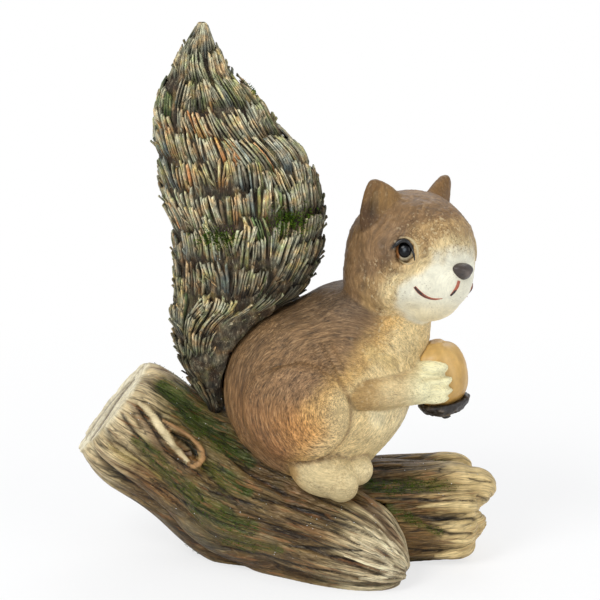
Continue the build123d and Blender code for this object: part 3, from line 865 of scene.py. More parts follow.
def paint_squirrel(skin, kinds, open_sky, white, rows, crease, seam, hollow, grooves):
    """The coat: dark back, rusty haunch, cream front and pale face, with a wash in the creases."""
    b, h = to_body(skin.places), to_head(skin.places)
    x, y, z = b.T
    wide = np.abs(y)
    drift = 3.0 * rough(b * 0.11, 3, 21) + 1.2 * rough(b * 0.45, 2, 31)
    front = x - np.interp(z, FRONT_LEVELS, FRONT) + drift
    spine = step(38, 52, np.hypot((x + 2) * 0.9, z - 38) + drift * 0.5) * step(4, -14, front)
    paint = coats(
        BROWN,
        ((0.56, 0.35, 0.12), step(-9, 3, front)),
        ((0.67, 0.51, 0.25), step(1, 11, front)),
        ((0.8, 0.65, 0.36), step(20, 34, x) * step(56, 44, z)),
        (DARK, spine * 0.8),
        ((0.26, 0.112, 0.036), 0.6 * blob((x, -24, 14), (z, 40, 16))),
        ((0.52, 0.23, 0.06), 0.8 * blob((x, -3, 12), (z, 38, 11)) * step(12, 22, wide)),
        ((0.27, 0.115, 0.036), 0.7 * blob((x, -12, 9), (z, 28, 8))),
        ((0.27, 0.15, 0.068), 0.75 * blob((x, -4, 13), (z, 58, 8)) * step(14, 22, wide)),
    )

    # Face: brown crown and cheeks behind, ochre brow, white muzzle, and brushed lines round the eyes
    ahead, left, up = h.T
    side = np.abs(left)
    bent = ahead + 1.4 * rough(h * 0.22, 3, 41)
    throat = step(-12, -22, up) * step(-2, 10, ahead + drift) * step(12, 4, ahead)
    seen = on_photo(near_twin(skin.places))
    drawn = step(2, 6, ahead)
    coat = coats(
        (0.175, 0.098, 0.04),
        ((0.225, 0.128, 0.054), step(-14, 3, bent)),
        ((0.43, 0.275, 0.115), step(-3.5, 2.5, bent - np.interp(up, OCHRE_LEVELS, OCHRE))),
        ((0.66, 0.51, 0.265), step(-2.5, 3.0, bent - np.interp(up, FACE_LEVELS, PALE_RIM))),
        ((0.8, 0.765, 0.6), white),
        ((0.78, 0.66, 0.4), 0.75 * step(-13, -21, up) * step(8, 16, ahead)),
        ((0.52, 0.35, 0.14), 0.8 * throat),
        ((0.13, 0.072, 0.033), 0.7 * step(-6, -20, ahead)),
        ((0.15, 0.082, 0.038), 0.6 * blob((ahead, 6.0, 5), (side, 24, 5), (up, 2.5, 3.4))),
        ((0.6, 0.43, 0.2), 0.7 * step(1.4, 0.5, stroke(seen, *EYE_CORNER)) * step(4, 8, ahead)),
        ((0.016, 0.012, 0.01), 0.95 * step(1.25, 0.75, stroke(seen, *LASH)) * drawn),
        ((0.21, 0.12, 0.045), 0.5 * step(1.3, 0.5, stroke(seen, *EYE_BAG)) * (1 - white) * drawn),
    )

    # Ears: brown rim, gold front, and painted shade with a dark wash low in the hollow
    gold = step(25.0, 22.5, side) * step(12, 20, up) * step(31, 26, up) * (left < 0)
    lobe = coats(
        (0.085, 0.04, 0.012),
        ((0.19, 0.098, 0.03), step(18.0, 23.5, up + 2 * rough(h * 0.4, 2, 51))),
        ((0.3, 0.165, 0.05), 0.8 * gold),
        (mix((0.05, 0.025, 0.008), (0.23, 0.14, 0.055), step(15.0, 24.0, up)), 0.9 * step(0.3, 0.8, hollow)),
    )

    # Arms, paws and feet, with a painted shadow along the top of the arm
    limb = coats(
        (0.4, 0.25, 0.09),
        ((0.64, 0.49, 0.25), step(22, 35, x + drift)),
        ((0.82, 0.76, 0.46), step(36, 47, x)),
        # Painted shadow along the top of the arm, under the chest
        ((0.3, 0.18, 0.065), 0.75 * step(56.0, 61.0, z - 0.1 * (x - 30) + drift * 0.3) * step(46, 38, x)),
        ((0.42, 0.3, 0.12), 0.6 * grooves),
    )
    sole = mix((0.42, 0.26, 0.095), (0.62, 0.49, 0.255), step(-9, 1, x + drift))
    for kind, own in ((FACE, coat), (EAR, lobe), (ARM, limb), (FOOT, sole)):
        paint = np.where((kinds == kind)[:, None], own, paint)
    paint = skin.soften(paint, 2)

    # Brush strokes with a painted shadow on the nape, then painted shade where little near sky is seen, brown wash in
    # creases and between tufts, and dry colour on what stands proud
    paint = coats(
        paint,
        ((0.25, 0.145, 0.052), 0.55 * step(1.3, 0.3, stroke(seen, *NAPE_SHADOW)) * (kinds < EAR)),
        ((0.54, 0.385, 0.155), 0.75 * step(1.3, 0.4, stroke(seen, *UPPER_ARM)) * (kinds == TORSO)),
        ((0.78, 0.66, 0.39), 0.8 * step(1.3, 0.4, stroke(seen, *BELLY)) * (kinds == TORSO)),
        ((0.8, 0.66, 0.37), 0.55 * step(1.3, 0.4, stroke(seen, *TOES)) * (kinds == FOOT)),
    )
    # Painted shade: darker where little near sky is seen
    paint = mix(paint, paint * (0.42, 0.34, 0.26), 0.85 * step(0.85, 0.45, open_sky))
    paint = mix(paint, (0.2, 0.105, 0.036), 0.6 * np.clip(crease, 0, 1))
    paint = mix(paint, (0.26, 0.15, 0.055), 0.55 * seam)
    paint = mix(paint, paint * 0.6, 0.7 * step(-0.05, -0.35, rows))
    paint = paint * (1 + 0.2 * step(0.02, 0.35, rows))[:, None]
    strokes = rough(fur_flow(skin.places, kinds) * (0.6, 0.6, 0.5), 3, 61)
    return paint * (1 + 0.12 * strokes * (1 - 0.8 * white))[:, None]


# Eyes, lids, mouth and nose
BEAD = 4.75
LID_FOOT = 4.7
PUPIL = (404.8, 249.5)
TUBE_SIDES = 8
BLACK, RED = (0.02, 0.008, 0.006), (0.36, 0.085, 0.038)
# The lids' pale colour is a painted highlight on their rims
LID_BLACK, LID_BROWN, LID_HIGHLIGHT = (0.01, 0.009, 0.009), (0.33, 0.22, 0.1), (0.56, 0.44, 0.24)

# Pixels of the photograph, half widths, colours along the line and distance from the eye's centre
LID_LINES = (
    (
        ((392.6, 248.2), (396.0, 244.0), (400.6, 240.8), (405, 239.9), (409.4, 242.2), (412.2, 247.2),
         (413.9, 253.2), (414.6, 260.6)),
        (0.2, 0.8, 0.9, 0.85, 0.75, 0.62, 0.5, 0.18), (LID_BLACK,), 4.8,
    ),
    (
        ((399.0, 238.0), (405.0, 236.9), (411.2, 238.8), (415.8, 244.0), (418.0, 250.8), (417.8, 258), (415.2, 263.6)),
        (0.12, 0.42, 0.56, 0.6, 0.56, 0.42, 0.12), (LID_BROWN, LID_HIGHLIGHT, LID_HIGHLIGHT, LID_BROWN), 4.62,
    ),
    (
        ((396.6, 256.8), (400.0, 261.4), (405.3, 264.0), (410.8, 263.9), (414.8, 261.8)),
        (0.12, 0.36, 0.44, 0.36, 0.12), (LID_BROWN, LID_HIGHLIGHT, LID_BROWN), 4.66,
    ),
)
SMILE = ((414.6, 286.8), (418.3, 291.6), (424.0, 296.2), (430, 298.6), (436, 299.5), (442.6, 298.4))
STEM = ((458.8, 281.0), (457.3, 286.5), (454.4, 291.3), (450.4, 295.6))

# Pixels, half widths, colours along the line, whether the far side has it too, and lift off the skin
MOUTH_LINES = (
    (SMILE, (0.58, 0.76, 0.66, 0.54, 0.42, 0.14), (RED,) * 6, True, -0.1),
    (SMILE, (0.4, 0.58, 0.44, 0.28, 0.16, 0.08), (BLACK,) * 4 + (RED,) * 2, True, 0.16),
    (STEM, (0.74, 0.8, 0.74, 0.4), (RED,) * 4, False, -0.1),
    (STEM, (0.16, 0.28, 0.6, 0.36), (RED,) + (BLACK,) * 3, False, 0.16),
)


def tube(line, radii):
    """A closed round tube along a line, with its own radius at each point."""
    line = np.asarray(line, dtype=float)
    count = len(line)
    ahead = np.gradient(line, axis=0)
    ahead /= np.linalg.norm(ahead, axis=1)[:, None]
    a = np.cross(ahead, (0.0, -0.6, 0.8))
    a /= np.linalg.norm(a, axis=1)[:, None]
    c = np.cross(a, ahead)
    thick = np.interp(np.linspace(0, 1, count), np.linspace(0, 1, len(radii)), radii)
    turn = np.arange(TUBE_SIDES) * 2 * math.pi / TUBE_SIDES
    rings = line[:, None] + thick[:, None, None] * (
        a[:, None] * np.cos(turn)[None, :, None] + c[:, None] * np.sin(turn)[None, :, None]
    )
    faces = bands(count - 1, TUBE_SIDES)
    tips, last = count * TUBE_SIDES, (count - 1) * TUBE_SIDES
    for k in range(TUBE_SIDES):
        m = (k + 1) % TUBE_SIDES
        faces += [[tips, m, k, k], [tips + 1, last + k, last + m, last + m]]
    return np.concatenate([rings.reshape(-1, 3), line[[0, -1]]]), faces


def brush_line(name, strokes, material):
    """Painted lines as thin raised tubes; each stroke has its points, radii and colours."""
    parts, paint = [], []
    for points, radii, colours in strokes:
        parts.append(tube(points, radii))
        share, marks = np.linspace(0, 1, len(points)), np.linspace(0, 1, len(colours))
        tone = np.stack([np.interp(share, marks, [c[k] for c in colours]) for k in range(3)], axis=1)
        paint.append(np.concatenate([np.repeat(tone, TUBE_SIDES, axis=0), tone[[0, -1]]]))
    places, faces = join(parts)
    show(name, places, triangles(faces), material, "painted_fur", paint=np.concatenate(paint))


def on_bead(x, y, radius=BEAD):
    """Where a pixel of the photograph meets the near eye's bead, or comes nearest to it."""
    centre = eye_axes(-1)[0]
    d = sight(x, y)
    run = (centre - EYE) @ d
    off = np.linalg.norm(EYE + d * run - centre)
    run -= math.sqrt(max(radius**2 - off**2, 0))
    return centre + unit(EYE + d * run - centre) * radius


def on_face(tree, x, y, radius):
    """Where a pixel of the photograph meets the near bead or the skin round it, whichever is nearer."""
    bead = on_bead(x, y, radius)
    hit = pixel_on(tree, x, y)
    if hit is None:
        return bead
    place, normal = hit
    return place + normal * (radius - LID_FOOT) if place @ TOWARDS > bead @ TOWARDS else bead


def onto(tree, point, lift):
    """The nearest place on a surface, or so far over it."""
    place, normal, _, _ = tree.find_nearest(Vector(point))
    return np.array(place) + np.array(normal) * lift


def make_mouth(tree):
    """The thin smile on each cheek and the short line below the nose."""
    strokes = []
    for pixels, radii, colours, twice, lift in MOUTH_LINES:
        hits = [pixel_on(tree, x, y) for x, y in curve_through(pixels, 30)]
        points = np.array([hit[0] + hit[1] * lift for hit in hits if hit is not None])
        strokes.append((points, radii, colours))
        if twice:
            strokes.append((np.array([onto(tree, p, lift) for p in mirrored(points)]), radii, colours))
    brush_line("mouth_lines", strokes, gloss_paint("mouth_paint", 0.45, 0.1))


def make_lids(tree):
    """Painted rims of both eyes: a dark upper lid with its lash, and pale folds outside it that carry a painted
    highlight.
    """
    strokes = []
    for pixels, radii, colours, radius in LID_LINES:
        line = curve_through([on_face(tree, x, y, radius) for x, y in pixels], 40)
        strokes += [(line, radii, colours), (mirrored(line), radii, colours)]
    brush_line("lid_lines", strokes, gloss_paint("lid_paint", 0.3, 0.0))


def make_eye(side, name, node):
    """A domed eye: black pupil with a painted highlight, brown corner and cream lower rim."""
    centre = eye_axes(-1)[0]
    axis = unit(on_bead(*PUPIL) - centre)
    top = unit(HEAD[2] - axis * (HEAD[2] @ axis))
    ahead = -np.cross(axis, top)

    def spot(out, x, y):
        x, y = x * BEAD, y * BEAD
        place = centre + axis * out * BEAD + ahead * x + top * y
        tone = mix((0.42, 0.18, 0.06), (0.7, 0.64, 0.47), step(-2.4, -1.0, x))
        tone = mix((0.003, 0.003, 0.004), tone, step(1.0, 1.08, math.hypot(x / 2.7, (y - 0.05) / 3.25)))
        # A painted highlight: pale grey in the middle of the pupil
        tone = mix(tone, (0.16, 0.18, 0.2), 0.8 * blob((x, -0.1, 0.55), (y, -0.1, 0.7)))
        return place if side < 0 else mirrored(place), tone

    places, faces, paint = ball(44, 72, spot)
    show(name, places, faces, EYE_PAINT, "eye_bead", (node,), paint=paint)


def make_nose():
    """A rounded triangular button with nostril dents and a painted highlight."""

    def spot(x, y, z):
        y = math.copysign(abs(y) ** 0.9, y) * (1 + 0.3 * z)
        nostril = blob((abs(y), 0.52, 0.2), (z, -0.22, 0.24)) * (x > 0)
        lump = 0.1 * math.sin(y * 4 + 1) * math.cos(z * 5)
        x = x * (1 - 0.22 * nostril + 0.4 * lump)
        tone = mix((0.056, 0.04, 0.032), (0.014, 0.01, 0.009), nostril)
        # A painted highlight: a pale spot on the middle of the button
        tone = mix(tone, (0.2, 0.16, 0.135), 0.65 * blob((y, -0.15, 0.35), (z, -0.05, 0.4)))
        return from_head([26.0 + x * 4.3, y * 5.1, -2.9 + z * 3.45]), tone

    places, faces, paint = ball(28, 48, spot)
    material = gloss_paint("nose_paint", 0.34, 0.0, 0.6, 900.0)
    show("nose_button", places, faces, material, "painted_nose", ("nose",), paint=paint)


# Nut
def make_nut():
    """The kernel with its shallow ribs, and the rough cup below it."""
    skin = cast("nut", ["nut"], 0.55)
    skin.places = skin.soften(skin.places, 5)
    b = to_body(skin.places)
    lean = math.radians(12)
    axis = np.array([-math.sin(lean), 0, math.cos(lean)])
    off = b - (50.2, 0, 54.6)
    up = off @ axis
    flat = off - up[:, None] * axis
    turn = np.arctan2(flat[:, 1], flat[:, 0])
    skin.push(np.cos(turn * 9 + 0.6 * np.sin(up * 0.3)) * 0.03 + 0.1 * rough(b * 0.35, 3, 5))
    skin.keep_in_box()
    streak = rough(np.stack([np.cos(turn) * 12, np.sin(turn) * 12, up / 6], axis=1) * 0.5, 3, 8)
    paint = coats(
        (0.5, 0.285, 0.07),
        ((0.64, 0.4, 0.13), step(-1.0, 1.0, 0.6 * streak + up * 0.03)),
        # Painted shade on the low end and painted light on the top
        ((0.42, 0.225, 0.06), 0.5 * step(-5, -11, up)),
        ((0.7, 0.48, 0.19), 0.35 * step(6, 13, up)),
    )
    material = gloss_paint("nut_paint", 0.38, 0.0, 0.3, 420.0)
    show("nut_kernel", skin.places, skin.faces, material, "painted_nut", ("nut",), paint=paint)

    cup = cast("cup", ["nut_cup"], 0.5)
    cup.places = cup.soften(cup.places, 3)
    b = to_body(cup.places)
    scales = rough(b * 0.42, 3, 14)
    cup.push(0.55 * scales + 0.25 * ridged(b * 0.7, 17))
    cup.keep_in_box()
    paint = mix((0.02, 0.014, 0.011), (0.085, 0.062, 0.048), step(0.1, 1.0, scales))
    paint = mix(paint, (0.33, 0.27, 0.21), 0.5 * step(0.75, 1.1, scales))
    material = gloss_paint("cup_paint", 0.36, 0.0, 0.6, 520.0)
    show("nut_cup_rough", cup.places, cup.faces, material, "painted_cup", ("nut_cup",), paint=paint)


# Log
BARK_DARK = (0.022, 0.013, 0.007)
BARK_PALE = (0.48, 0.36, 0.19)
TRUNK_LINE = np.array(
    [
        (-84.1, 16.6, 66.5), (-78.5, 16.6, 62.4), (-57.9, 15.4, 47.5), (-42.1, 13.0, 37.8), (-27.5, 8.6, 27.0),
        (-8.5, 0.6, 20.2), (12.1, -13.0, 15.4), (27.4, -22.6, 11.5), (37.5, -27.4, 7.4), (46.0, -28.5, 4.0),
    ]
)
BRANCH_LINE = [(-8.0, 4.4, 19.5), (20.0, 6.7, 19.8), (40.0, 8.6, 20.0), (57.6, 10.6, 20.0), (90.0, 12.5, 20.0)]
TRUNK_PATH = curve_through(TRUNK_LINE, 56)
BRANCH_PATH = curve_through(BRANCH_LINE, 30)

# Brushed lines on the photograph: pixels and half widths
KNOT_AT, KNOT_SIZE = (176, 440), (24, 32)
KNOT_PALE = (
    ((140, 403), (147, 410), (155, 419), (162, 430), (168, 438), (174, 447), (181, 455), (188, 462)),
    (1.5, 2.8, 3.5, 3.7, 3.7, 3.4, 2.8, 2.0),
)
KNOT_WARM = (
    ((163, 421), (172, 426), (181, 431), (190, 437), (197, 444), (202, 451), (203, 458), (199, 464), (193, 467),
     (188, 464)),
    (1.0, 1.8, 2.0, 2.0, 2.2, 2.4, 2.4, 2.4, 2.0, 1.2),
)
KNOT_HOLE = (((173, 432), (180, 438), (186, 445), (191, 451), (194, 455)), (2.5, 5.5, 7.0, 6.3, 4.0))
KNOT_FIBRE = (
    ((134, 406), (139, 416), (146, 426), (154, 438), (163, 450), (173, 461), (184, 469), (195, 473)),
    (1.5, 3.0, 4.0, 4.5, 4.5, 4.0, 3.0, 1.5),
)
KNOT_GROOVE = (
    ((137, 407), (145, 418), (152, 428), (159, 440), (167, 451), (177, 461), (187, 467)),
    (1.0, 1.3, 1.4, 1.4, 1.4, 1.3, 1.0),
)
SAWN_SPLIT = (((134, 379), (122, 393), (110, 411), (100, 426), (90, 440)), (0.8, 1.1, 1.1, 1.1, 0.8))
SAWN_CRACK = (((129, 382), (112, 401), (98, 419), (86, 438)), (0.6, 0.8, 0.8, 0.6))
GOLD = (((108, 446), (125, 458), (145, 466), (160, 478)), (3, 7, 6, 3))
FACET = (((366, 498), (380, 515), (392, 532), (400, 552)), (7, 8, 6, 3))
TRUNK_CRACKS = (
    (((252, 498), (285, 503), (320, 514), (348, 520)), (0.6, 2.2, 2.2, 0.6)),
    (((288, 545), (325, 549), (362, 551)), (0.6, 2.4, 0.8)),
    (((222, 546), (262, 556), (300, 566), (340, 573)), (0.5, 1.5, 1.5, 0.5)),
    (((200, 487), (232, 498), (262, 508)), (0.5, 1.6, 0.6)),
    (((122, 414), (128, 424), (136, 435), (148, 447)), (1.6, 3.0, 2.4, 0.8)),
    (((300, 520), (330, 530), (360, 545)), (0.5, 1.8, 0.5)),
    (((150, 478), (180, 500), (215, 520), (255, 535)), (0.5, 1.4, 1.4, 0.5)),
)
TRUNK_MOSS = (
    (((165, 388), (185, 405), (205, 424), (225, 443), (250, 462)), (9, 15, 15, 12, 5)),
    (((208, 466), (232, 484), (246, 492)), (6, 9, 5)),
    (((136, 440), (155, 455), (175, 478), (200, 503), (228, 522), (252, 528)), (5, 8, 9, 11, 12, 6)),
    (((225, 540), (250, 545), (280, 550)), (4, 6, 3)),
)
TIP_RIDGES = (
    (((350, 536), (372, 549), (392, 566)), (0.8, 2.4, 2.4)),
    (((364, 526), (383, 544), (399, 563)), (0.8, 2.6, 2.4)),
    (((380, 528), (393, 546), (404, 566)), (0.8, 2.2, 2.2)),
    (((344, 556), (368, 565), (396, 571)), (0.8, 2.6, 3.4)),
    (((360, 579), (380, 578), (397, 571)), (1.0, 3.0, 3.4)),
    (((392, 540), (402, 553), (406, 566)), (0.6, 1.8, 2.0)),
)
BRANCH_CRACKS = (
    (((404, 514), (440, 518), (476, 519)), (0.8, 2.0, 1.2)),
    (((428, 528), (450, 534), (472, 534)), (0.8, 1.8, 1.2)),
    (((366, 466), (385, 468), (402, 467)), (1.5, 2.2, 0.8)),
    (((376, 498), (410, 499), (445, 500), (475, 501)), (0.6, 1.2, 1.0, 0.6)),
    (((406, 549), (425, 552), (442, 551)), (0.8, 1.4, 0.6)),
    (((468, 478), (480, 481), (492, 482)), (0.5, 1.2, 0.5)),
    (((478, 496), (486, 500), (490, 504)), (0.8, 1.8, 0.8)),
    (((408, 561), (440, 560), (466, 557)), (0.5, 1.0, 0.5)),
)
BRANCH_RIDGES = (
    (((418, 507), (440, 505), (462, 504), (482, 508)), (0.8, 2.0, 3.0, 3.5)),
    (((432, 523), (452, 525), (474, 525)), (0.6, 2.0, 3.0)),
    (((442, 540), (458, 541), (473, 541)), (0.8, 2.4, 3.0)),
    (((406, 565), (435, 565), (463, 562)), (1.2, 2.4, 3.0)),
    (((435, 556), (452, 554), (468, 550)), (0.8, 2.6, 3.0)),
)
BRANCH_MOSS = (
    (((370, 484), (395, 489), (412, 488)), (8, 9, 7)),
    (((412, 486), (435, 486), (462, 484)), (7, 8, 5)),
    (((390, 510), (408, 518), (425, 527), (442, 533)), (5, 7, 4, 4)),
)
BRANCH_SHADE = (((360, 470), (385, 478), (402, 490), (410, 505)), (16, 18, 16, 8))


def along(places, line):
    """Each place's distance along a line, and its direction round it and distance from it."""
    best = np.full(len(places), 1e9)
    run = np.zeros(len(places))
    turn = np.zeros(len(places))
    done = 0.0
    for a, b in zip(line[:-1], line[1:]):
        d = b - a
        length = np.linalg.norm(d)
        d = d / length
        t = np.clip((places - a) @ d, 0, length)
        off = places - a - t[:, None] * d
        gap = np.linalg.norm(off, axis=1)
        side = np.cross([0, 0, 1.0], d)
        side /= np.linalg.norm(side)
        top = np.cross(d, side)
        better = gap < best
        best = np.where(better, gap, best)
        run = np.where(better, done + t, run)
        turn = np.where(better, np.arctan2(off @ top, off @ side), turn)
        done += length
    return run, turn, best


def bark_flow(places, line, twist):
    """Coordinates along the grain, with the run along the line and the distance from it."""
    run, turn, gap = along(places, line)
    bent = turn + run * twist
    return np.stack([np.cos(bent) * 22, np.sin(bent) * 22, run / 9], axis=1), run, gap


def carve_bark(skin, flow, deep, seed, plain):
    """Cracks along the grain in three sizes."""
    level = np.zeros(len(flow))
    bend = flow + 1.6 * np.stack([noise(flow * 0.09, seed + 1), noise(flow * 0.09, seed + 2), level], axis=1)
    big = cracks(bend * (0.085, 0.085, 0.14), seed, 0.22)
    mid = cracks(bend * (0.2, 0.2, 0.22), seed + 5, 0.22)
    fine = cracks(bend * (0.42, 0.42, 0.36), seed + 7, 0.24)
    small = rough(bend * (0.9, 0.9, 0.6), 2, seed + 9)
    relief = (big - 0.8) * 0.6 + (mid - 0.75) * 1.0 + (fine - 0.7) * 0.35 + small * 0.05
    skin.push(relief * deep * step(0.2, 2.5, skin.places[:, 2]) * plain)
    skin.places[:, 2] = np.maximum(skin.places[:, 2], 0)


def crests(skin):
    """How far each point stands over its surroundings: crests above 0, troughs below."""
    normals = skin.normals()
    smooth = skin.soften(skin.places, 14)
    return np.einsum("ij,ij->i", skin.places - smooth, normals)


def moss_where(places, normals, seed):
    """Where moss grows: on upper sides, in ragged patches."""
    patch = rough(places * 0.045, 4, seed)
    return step(0.1, 0.55, patch + 0.35 * normals[:, 2])


def make_trunk():
    """The trunk's bark, sawn end, knot and torn foot. Gives the skin and where moss grows on it."""
    skin = cast("trunk", ["trunk"], 0.72, 0.0)
    skin.places = skin.soften(skin.places, 2)
    start = unit(TRUNK_LINE[1] - TRUNK_LINE[2])
    sawn = step(0.72, 0.9, skin.normals() @ start + 0.1 * noise(skin.places * 0.25, 83))
    sawn = sawn * (skin.places[:, 0] < -55)
    skin.places = skin.places + start * (0.8 * sawn)[:, None]

    # Knot: the cast pit is healed over, then lips, hole, fibre and groove are drawn on it
    healed = skin.soften(skin.places, 400)
    near = step(0.02, 0.25, Skin(healed, skin.faces).normals() @ TOWARDS)
    off = (on_photo(healed) - KNOT_AT) / KNOT_SIZE
    mend = step(1.25, 0.8, np.hypot(off[:, 0], off[:, 1])) * near
    skin.places = skin.places + (healed - skin.places) * mend[:, None]
    skin.push(1.1 * mend)
    seen = on_photo(skin.places)
    hole = step(1.05, 0.75, stroke(seen, *KNOT_HOLE)) * near * (1 - step(1.5, 0.9, stroke(seen, *KNOT_PALE)))
    pale, warm, fibre, groove = (
        np.exp(-(stroke(seen, *line) ** 2.5)) * near for line in (KNOT_PALE, KNOT_WARM, KNOT_FIBRE, KNOT_GROOVE)
    )
    lips = np.maximum(pale, warm)
    crack = brushed(seen, *TRUNK_CRACKS) * near
    ridge = brushed(seen, *TIP_RIDGES) * near

    flow, run, gap = bark_flow(skin.places, TRUNK_PATH, 0.004)
    total = run.max()
    carve_bark(skin, flow, 1.0, 3, (1 - 0.85 * sawn) * (1 - 0.8 * lips) * (1 - hole) * (1 - 0.5 * fibre))
    relief = 1.3 * pale + 1.2 * warm - 3.0 * hole * (1 - pale) * (1 - warm)
    relief += 0.8 * fibre - 0.9 * groove - 0.8 * crack + 0.7 * ridge
    skin.push(relief * step(0.2, 2.0, skin.places[:, 2]))
    rings = np.cos(gap * 2.2 + 2.5 * noise(skin.places * 0.1, 77))
    x, y, z = skin.places.T
    saw = noise(np.stack([y * 0.6, z * 0.08, x * 0.08], axis=1), 78)
    split = brushed(seen, SAWN_SPLIT) + 0.7 * brushed(seen, SAWN_CRACK)
    skin.push((0.1 * rings + 0.18 * saw - 0.5 * split) * sawn)
    foot = step(total - 40, total - 16, run)
    torn = cracks(flow * (0.16, 0.16, 0.1) + 7, 12, 0.25)
    skin.push(0.9 * (torn - 0.7) * foot * step(0.3, 3.0, skin.places[:, 2]))
    skin.keep_in_box()
    open_sky = shelter(skin, 6.0, 8)

    # Paint: browns, dry-brushed crests, the pale ends, moss, painted sheen, painted shade where little near sky is
    # seen, and what is drawn round the knot and the tip
    places, normals, crest = skin.places, skin.normals(), crests(skin)
    patch = rough(places * 0.06, 3, 91)
    thread = step(0.55, 0.95, ridged(flow * (0.42, 0.42, 0.5), 97))
    ends = np.clip(step(46, 12, run) + step(total - 36, total - 12, run), 0, 1)
    dry = step(0.1, 0.48, crest + 0.12 * patch) * (0.14 + 0.72 * ends)
    # Painted sheen: grey streaks on the crests in the middle of the trunk
    painted_sheen = rough(flow * (0.22, 0.22, 0.25), 2, 85)
    painted_sheen = painted_sheen * step(total - 118, total - 96, run) * step(total - 34, total - 60, run)
    tip = step(total - 34, total - 12, run) * step(-0.35, 0.35, crest + 0.5 * rough(flow * 0.2, 2, 87))
    rim = blob((np.clip(run - 5.0 + 4.0 * noise(flow * 0.3, 82), 0, None), 0, 4.5)) * (1 - sawn)
    worn = step(-0.9, 0.5, rings * 0.4 + saw + 0.5 * rough(places * 0.3, 2, 79))
    face = mix((0.7, 0.6, 0.38), (0.9, 0.82, 0.6), worn)
    face = mix(face, (0.15, 0.1, 0.05), 0.85 * np.clip(split, 0, 1) + 0.4 * step(-0.8, -1.2, rings + 0.6 * saw))
    brush = strokes_on(seen, TRUNK_MOSS)
    bare = (1 - sawn) * (1 - lips) * (1 - foot)
    drawn = step(1.25, 0.55, brush + 0.5 * rough(places * 0.16, 3, 133)) * near
    mossy = np.clip(np.maximum(moss_where(places, normals, 131) * (1 - near) * 0.8, drawn), 0, 1)
    mossy = mossy * bare * (1 - 0.9 * rim) * (1 - hole) * (1 - 0.85 * fibre)
    green = mix((0.105, 0.098, 0.014), (0.042, 0.078, 0.008), step(0.1, 0.5, normals[:, 2]))
    smooth = 1 - 0.7 * np.clip(ridge, 0, 1)
    paint = coats(
        (0.13, 0.074, 0.026),
        ((0.14, 0.104, 0.04), step(-0.3, 0.7, patch)),
        ((0.24, 0.12, 0.045), step(0.2, 0.9, rough(flow * (0.16, 0.16, 0.2), 3, 95))),
        ((0.3, 0.205, 0.1), 0.7 * step(0.05, 0.4, crest)),
        (BARK_PALE, np.clip(dry + 0.12 * thread, 0, 1)),
        ((0.56, 0.43, 0.12), 0.8 * brushed(seen, GOLD) * near * step(-0.35, 0.25, crest + 0.5 * patch)),
        ((0.19, 0.18, 0.16), 0.6 * step(0.25, 0.75, painted_sheen) * step(-0.2, 0.25, crest)),
        (BARK_DARK, 0.9 * step(-0.04, -0.4, crest)),
        ((0.8, 0.69, 0.45), 0.85 * tip),
        ((0.8, 0.7, 0.47), 0.95 * rim * step(-0.75, -0.15, crest + 0.25 * patch)),
        ((0.72, 0.58, 0.34), 0.75 * step(38, 14, run) * step(-0.2, 0.15, crest) * (1 - sawn)),
        (face, sawn),
        ((0.125, 0.105, 0.022), 0.55 * step(1.9, 0.8, brush) * near * bare),
        (green, 0.85 * mossy * step(-0.5, 0.25, 0.25 - crest + 0.3 * patch)),
        ((0.2, 0.125, 0.07), 0.8 * fibre * (1 - lips)),
        ((0.02, 0.013, 0.007), 0.85 * np.maximum(groove, crack) * (1 - lips)),
        ((0.86, 0.76, 0.52), 0.92 * np.clip(ridge, 0, 1) * step(-0.6, 0.0, crest)),
        ((0.78, 0.66, 0.41), 0.96 * step(0.25, 0.7, pale) * (1 - warm)),
        ((0.43, 0.235, 0.095), 0.9 * step(0.25, 0.7, warm)),
        ((0.016, 0.02, 0.006), 0.94 * hole * (1 - lips)),
        ((0.13, 0.078, 0.036), 0.7 * brushed(seen, FACET) * near * smooth),
        # Painted shade: near black where little near sky is seen
        ((0.016, 0.01, 0.005), 0.6 * step(0.75, 0.35, open_sky) * (1 - 0.7 * lips)),
    )
    plain = (1 - ends) * (1 - lips)
    paint = paint * ((1 + 0.16 * rough(flow * 0.7, 2, 99) * (1 - lips)) * (1 - 0.16 * plain))[:, None]
    paint = paint * (1 - plain[:, None] * (0.0, 0.02, 0.2))
    show(
        "trunk_bark", places, skin.faces, BARK_PAINT, "painted_bark", ("trunk",), paint=paint,
        flow=flow * (1, 1, 0.85), grain=(1 - 0.75 * sawn) * (1 - 0.75 * lips) * (1 - 0.3 * rim),
    )
    return skin, mossy


